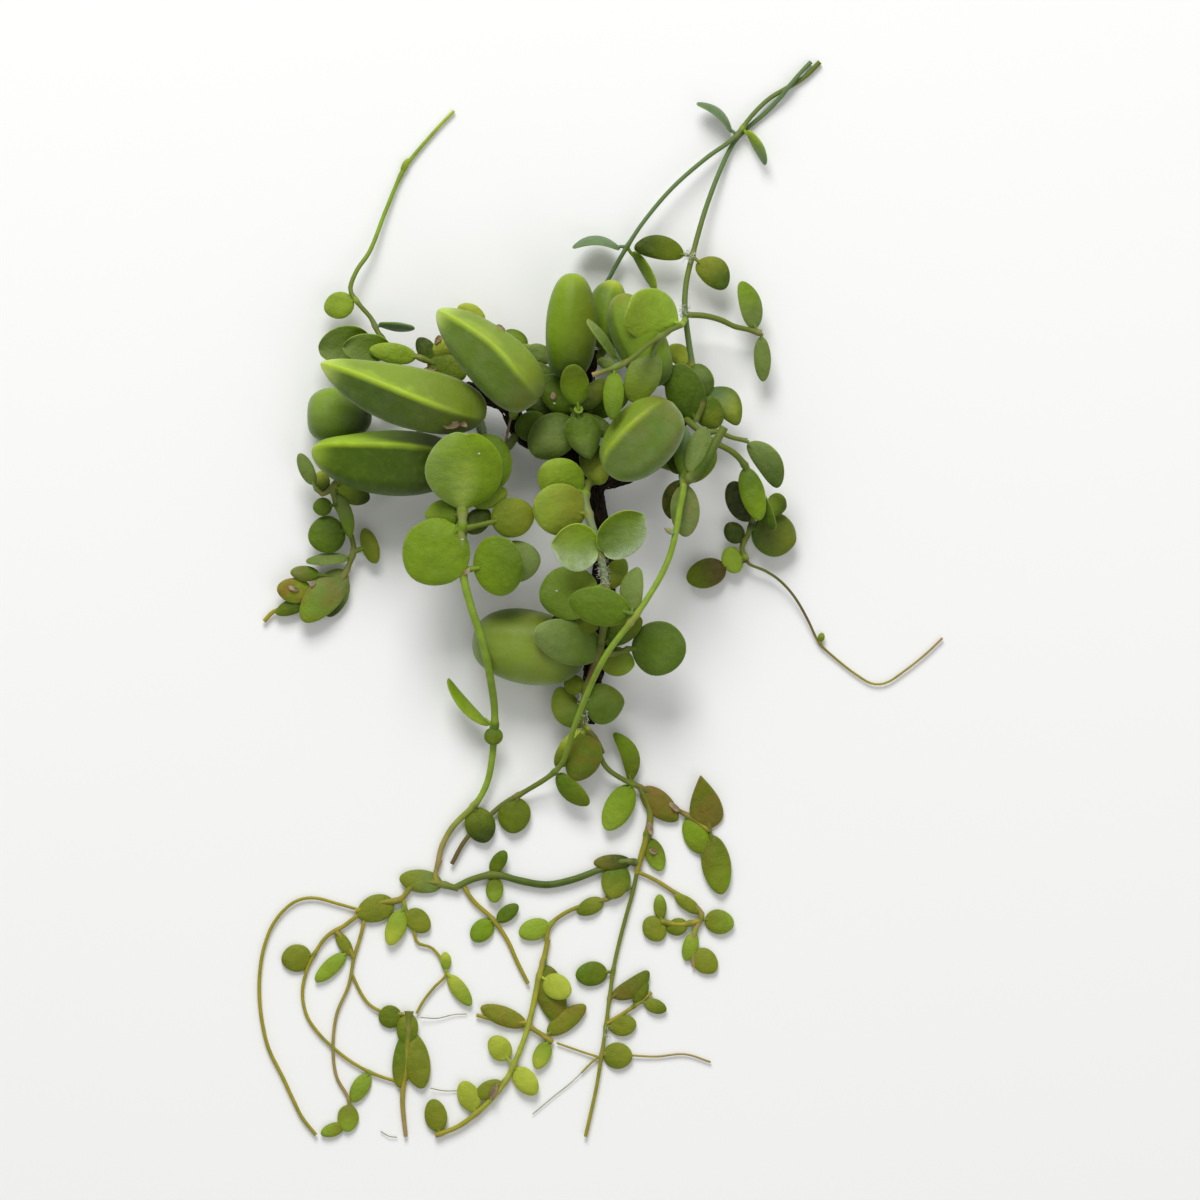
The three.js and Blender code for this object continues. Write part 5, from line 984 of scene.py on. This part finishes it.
def shapePitcher(master, looks):
    path = smoothPath(looks["path"], 1.0)
    piece = copyMaster(master, looks["node"] + "_leaf")
    lit, shade, root, tip = [tone(name) for name in looks["tones"].split()]
    fromRidge, litSide, alongs, shades = [], [], [], []
    last = len(path) - 1
    size = (looks["width"] + looks["depth"]) / 4
    sharp = looks["rise"] > pitcherForm["sharpRise"]
    for vertex in piece.data.vertices:
        x, y, z = vertex.co
        share = min(max((z + 1) / 2, 0.0), 1.0)
        place, centre = placeOn(path, share)
        axis = (path[min(place + 3, last)] - path[max(place - 2, 0)]).normalized()
        side, face = frameAlong(axis)
        turn = math.atan2(x, y) if math.hypot(x, y) > 1e-4 else 0.0
        angle = turn + math.radians(along(looks["ridge"], share))
        full = bulge(share, looks["blunt"], looks["point"])
        bump = Vector((math.sin(angle), math.cos(angle), 0)) + centre * pitcherForm["dentScale"]
        reach = full * (sectionRadius(turn, looks["rise"]) + pitcherForm["dent"] * noise.noise(bump))
        spot = (centre + side * (math.sin(angle) * reach * looks["width"] / 2)
                + face * (math.cos(angle) * reach * looks["depth"] / 2))
        vertex.co = spot * mm
        fromRidge.append(abs(turn) * full * size)
        if sharp:
            litSide.append(0.5 if turn == 0 else float(turn > 0))
        else:
            litSide.append(smoothStep(turn, -pitcherForm["softSides"], pitcherForm["softSides"]))
        alongs.append(share)
        # painted light and shade: the lit tone on one side of the ridge, the shaded tone on the other, and
        # painted shade at the root end
        colour = blendTones(shade, lit, litSide[-1])
        colour = blendTones(colour, root, 1 - smoothStep(share, 0, looks["rootReach"]))
        shades.append(blendTones(colour, tip, smoothStep(share, 1 - pitcherForm["tipTone"], 1)))
    mesh = piece.data
    low, high = pitcherForm["creaseSpan"]
    creases = mesh.attributes.new("crease_edge", "FLOAT", "EDGE").data
    for edge in mesh.edges:
        onRidge = sharp and all(fromRidge[i] < 1e-3 and low < alongs[i] < high for i in edge.vertices)
        creases[edge.index].value = pitcherForm["crease"] * onRidge
    paint(mesh, "fromRidge", fromRidge)
    paint(mesh, "litSide", litSide)
    paint(mesh, "ridgeHighlight", [looks["highlight"] * smoothStep(v, *pitcherForm["highlightSpan"]) for v in alongs])
    paint(mesh, "bloom", [looks["bloom"] + looks["shadeBloom"] * (1 - lit) for lit in litSide])
    paint(mesh, "flush", [looks["flush"] * (1 - v) for v in alongs])
    paintTone(mesh, shades)
    finishPiece(frostAndSheenSides(roundOff(piece)), pitcherSkin, looks["node"])
    buildStems(looks["node"], [looks["stalk"]], [], [])


# Old wood and what clings to it
wood = {
    "runs": [
        stem([(-3.6, -37, 5), (-2.6, -26, 5.2), (-0.4, -12, 4.4), (0.6, 0, 2.1), (1, 14, 4.8), (-0.8, 26, 7),
              (-1.4, 34, 8), (0, 37.5, 8.6)], [1.6, 2.4, 3, 4.2, 3.2, 2.7, 3, 3.6]),
        stem([(0, 36.5, 8.6), (-8, 41, 8.8), (-15, 46, 9), (-22, 49, 9), (-25.2, 53, 9), (-28, 59, 9),
              (-36, 62, 9), (-50, 64, 8.6), (-60, 68, 8)], [3.4, 3.4, 3, 2.6, 2.8, 2.6, 2.2]),
        stem([(-1, 36.5, 8.6), (8, 38.2, 9), (14, 42, 9), (20, 49.5, 9), (25, 57, 9), (27, 67, 9)],
             [3.6, 3.2, 3.4, 3, 2.2]),
        stem([(-5, 40, 8.8), (-5, 50, 9), (-5, 62, 9), (-3, 70, 8.4), (-2, 75, 7)], [3.4, 2.8, 2.6, 1.8]),
    ],
    "step": 2.0,
    "slim": 0.94,
    "sideSteps": 5,
    "voxel": 0.7,
    "lump": 0.8,  # millimetres in and out
    "lumpScale": 0.28,
    "grain": 0.35,
    "grainScale": 1.1,
}
fibres = {
    "seed": 7,
    "count": 170,
    "latest": 0.75,  # share of the stem where the last of them starts
    "sides": 2.6,  # radians from the top
    "points": 13,
    "step": 2.2,
    "radius": (0.14, 0.34),
    "wander": 0.7,
    "lift": 0.6,
}


def buildWood():
    tubes = []
    for run in wood["runs"]:
        path = smoothPath(run["path"], wood["step"])
        last = len(path) - 1
        tubes.append([(place, wood["slim"] * along(run["radii"], i / last)) for i, place in enumerate(path)])
    piece = drawTubes("woodyStem", tubes, wood["sideSteps"])
    applyModifier(piece, "REMESH", mode="VOXEL", voxel_size=wood["voxel"] * mm)
    for vertex in piece.data.vertices:
        spot = vertex.co / mm
        lump = wood["lump"] * noise.noise(spot * wood["lumpScale"])
        grain = wood["grain"] * noise.noise(spot * wood["grainScale"] + up)
        spot += vertex.normal * (lump + grain)
        vertex.co = Vector((spot.x, spot.y, max(spot.z, 0.0))) * mm
    finishPiece(piece, bark, "woody_core")


def buildFibres():
    draw = random.Random(fibres["seed"])
    paths = [smoothPath(run["path"], wood["step"]) for run in wood["runs"]]
    tubes = []
    for i in range(fibres["count"]):
        run = draw.choice([0, 0, 1, 2, 3])  # twice as often on the front one
        path, radii = paths[run], wood["runs"][run]["radii"]
        start = draw.random() * fibres["latest"]
        turn = draw.uniform(-fibres["sides"], fibres["sides"])
        way = draw.choice([-1, 1])
        radius = draw.uniform(*fibres["radius"])
        tube = []
        for k in range(fibres["points"]):
            share = start + way * k * fibres["step"] / (wood["step"] * (len(path) - 1))
            share = min(max(share, 0.0), 1.0)
            place, centre = placeOn(path, share)
            side, face = frameAlong((path[place + 1] - path[place]).normalized())
            turn += draw.uniform(-0.5, 0.5) * fibres["wander"]
            away = wood["slim"] * along(radii, share) + fibres["lift"] * draw.random()
            spot = centre + side * (math.sin(turn) * away) + face * (math.cos(turn) * away)
            spot.z = max(spot.z, radius)
            tube.append((spot, radius * (1 - 0.5 * k / fibres["points"])))
        tubes.append(tube)
    finishPiece(drawTubes("rootFibres", tubes, 0), fibreSkin, "woody_core")


# Dried scraps, specks, threads and a twig, the first two laid on whatever is under them
scraps = {
    "curl": 0.9,
    "thickness": 0.35,
    "detail": 2,
    "sink": 0.25,
    "places": [  # place, length, width, turn in degrees
        ((-44, 52), 5.5, 2.2, 10), ((-41, 52.6), 3.5, 1.8, -30), ((-51, 69), 5, 2.4, 25),
        ((-48.5, 78), 3, 1.8, 60), ((-29.6, 80.9), 3.4, 1.8, -40), ((-14, 61), 2.4, 1.6, 80),
        ((15, -68.6), 4.5, 1.8, -70), ((16, -75.6), 3, 1.6, -20), ((-32, -148), 5.6, 2, 65),
        ((22.6, -62.4), 4, 1.8, -40), ((-39.8, 8.4), 2.8, 1.2, 35), ((-92, 3.4), 3.2, 1.5, -20),
        ((-86.4, 4.6), 2.6, 1.4, 50),
    ],
}
specks = {"radius": 0.36, "stretch": (1.4, 0.9, 0.5),
          "places": [(-36, 43.5), (-41, 18), (-13.6, 58.8), (-12.9, 2.7)]}
threads = {"radius": 0.16, "step": 0.8, "paths": [
    [(-54, -125.5, 1.2), (-49, -125.8, 0.7), (-44, -124.7, 0.5), (-40, -124.5, 0.4)],
    [(-51, -146.8, 1), (-47, -147.6, 0.6), (-43, -147.6, 0.4)],
    [(-5.6, -142.2, 0.6), (-9.2, -145.6, 0.4), (-14, -149.4, 0.4), (-20.3, -154.7, 0.4)],
    [(-66, -159.8, 0.4), (-63.4, -161.3, 0.5), (-61, -161.6, 0.4)],
]}
twig = {"radius": 0.5, "taper": 0.02, "step": 1.0,
        "path": [(-28.2, 46.6, 12), (-27.8, 49.6, 12.6), (-27.2, 52.4, 12.2), (-26.5, 55.4, 11.4)]}
bract = leaf((22.4, 19.6, 32), (19, 21.4, 32.4), 1.8, 0.3, "pale tan", point=0.9)
wool = {
    "seed": 11,
    "radius": 0.07,
    "length": (0.9, 2.2),
    "points": 4,
    "patches": [  # ends of the stretch of stem, its radius and the number of hairs
        ((-0.4, 16, 26.2), (1.6, 4.5, 24), 1.3, 170), ((-4.6, -28, 13.2), (-5, -37, 10.4), 1.1, 110),
        ((25.4, 88, 12), (25.5, 84, 12.4), 1.1, 60), ((26.2, 102, 9.8), (27.4, 104.4, 9.6), 1, 50),
        ((-36.4, 53.6, 22), (-35, 48.6, 20.6), 1.4, 60), ((2.4, -128, 1.2), (1.6, -132, 1.2), 0.8, 40),
    ],
}


def topAt(trees, x, y):
    hits = [tree.ray_cast(Vector((x, y, 100)) * mm, -up)[0] for tree in trees]
    return max([hit.z / mm for hit in hits if hit] + [0.0])


def buildScraps():
    graph = bpy.context.evaluated_depsgraph_get()
    trees = [bvhtree.BVHTree.FromObject(piece, graph) for piece in built]
    parts = []
    for i, ((x, y), length, width, turn) in enumerate(scraps["places"]):
        bpy.ops.mesh.primitive_ico_sphere_add(subdivisions=scraps["detail"], radius=0.5)
        low = topAt(trees, x, y) - scraps["sink"]
        heading = math.radians(turn)
        for vertex in bpy.context.object.data.vertices:
            a, b, c = vertex.co
            crumple = noise.noise(Vector((a * 2.3, b * 2.3, i * 4.7)))
            rise = scraps["curl"] * (4 * b * b + crumple) * width * 0.5
            a, b = a * length * (1 + 0.4 * crumple), b * width
            vertex.co = Vector((
                x + a * math.cos(heading) - b * math.sin(heading),
                y + a * math.sin(heading) + b * math.cos(heading),
                max(low + rise + (c + 0.5) * scraps["thickness"] * 2, 0.05))) * mm
        parts.append(bpy.context.object)
    finishPiece(joinPieces(parts, "driedScraps"), scrapSkin, None)
    parts = []
    for x, y in specks["places"]:
        bpy.ops.mesh.primitive_ico_sphere_add(
            subdivisions=1, radius=specks["radius"] * mm, location=Vector((x, y, topAt(trees, x, y))) * mm)
        bpy.ops.transform.resize(value=specks["stretch"])
        bpy.ops.object.transform_apply(location=True, rotation=False, scale=True)
        parts.append(bpy.context.object)
    finishPiece(joinPieces(parts, "paleSpecks"), woolSkin, None)


def buildThreads():
    tubes = [[(place, threads["radius"]) for place in smoothPath(path, threads["step"])]
             for path in threads["paths"]]
    finishPiece(drawTubes("dryThreads", tubes, 0), threadSkin, None)
    path = smoothPath(twig["path"], twig["step"])
    tube = [(place, twig["radius"] - twig["taper"] * i) for i, place in enumerate(path)]
    finishPiece(drawTubes("dryTwig", [tube], 1), scrapSkin, None)


def buildWool():
    draw = random.Random(wool["seed"])
    tubes = []
    for start, end, radius, count in wool["patches"]:
        start, end = Vector(start), Vector(end)
        side, face = frameAlong((end - start).normalized())
        for i in range(count):
            turn = draw.uniform(-math.pi, math.pi)
            out = side * math.sin(turn) + face * math.cos(turn)
            spot = start.lerp(end, draw.random()) + out * radius * 0.9
            step = draw.uniform(*wool["length"]) / wool["points"]
            way = (out * 0.4 + Vector([draw.uniform(-1, 1) for axis in range(3)])).normalized()
            tube = []
            for k in range(wool["points"]):
                spot.z = max(spot.z, 0.1)
                tube.append((spot.copy(), wool["radius"]))
                way = (way + 0.5 * Vector([draw.uniform(-1, 1) for axis in range(3)])).normalized()
                spot += way * step
            tubes.append(tube)
    finishPiece(drawTubes("stemWool", tubes, 0), woolSkin, None)


# Stage, light and camera
studio = {
    "floorSize": 4.0,
    "floorDrop": 0.0003,
    "floorColour": (0.9, 0.9, 0.89, 1),
    "floorRoughness": 0.9,
    "ambient": 0.43,
    "lights": {  # place, size and power
        "keyLight": ((-0.25, 1.7, 1.5), 1.1, 43.0),
        "fillLight": ((0.9, -1.0, 1.9), 1.6, 7.0),
    },
}
lens = {"height": 3.008, "focal": 300.0, "sensor": 36.0, "farthest": 20.0}


def buildStudio():
    bpy.ops.mesh.primitive_plane_add(size=studio["floorSize"], location=(0, 0, -studio["floorDrop"]))
    floor = bpy.context.object
    floor.name = "floor"
    material, tree, shader = newMaterial("pale floor")
    fill(tree, shader, {"Base Color": studio["floorColour"], "Roughness": studio["floorRoughness"]})
    floor.data.materials.append(material)
    for name, (place, size, power) in studio["lights"].items():
        bpy.ops.object.light_add(type="AREA", location=place)
        lamp = bpy.context.object
        lamp.name = name
        lamp.data.size = size
        lamp.data.energy = power
        lamp.rotation_euler = (-Vector(place)).to_track_quat("-Z", "Y").to_euler()
    world = bpy.data.worlds.new("studio")
    bpy.context.scene.world = world
    world.use_nodes = True
    fill(world.node_tree, world.node_tree.nodes["Background"], {
        "Color": (1, 1, 1, 1), "Strength": studio["ambient"]})
    bpy.ops.object.camera_add(location=(0, 0, lens["height"]), rotation=(0, 0, 0))
    camera = bpy.context.object
    camera.data.lens = lens["focal"]
    camera.data.sensor_width = lens["sensor"]
    camera.data.clip_end = lens["farthest"]
    bpy.context.scene.camera = camera
    bpy.context.scene.view_settings.view_transform = "Standard"


buildStudio()
print("studio set")
leafMaster = makeMaster(leafForm)
for plant in leafyStems:
    buildPlant(plant, leafMaster)
print("leafy stems built:", len(leafyStems))
pitcherMaster = makeMaster(pitcherForm)
for looks in pitchers:
    shapePitcher(pitcherMaster, {**pitcherLooks, **looks})
print("pitchers built:", len(pitchers))
buildWood()
buildFibres()
print("wood built")
buildScraps()
buildThreads()
buildWool()
scale, petiole = shapeLeaf(leafMaster, bract, bract["root"], 3)
finishPiece(roundOff(scale), leafSkin, "stem_front").name = "bract"
print("small matter built")
for master in (leafMaster, pitcherMaster):
    bpy.data.objects.remove(master, do_unlink=True)
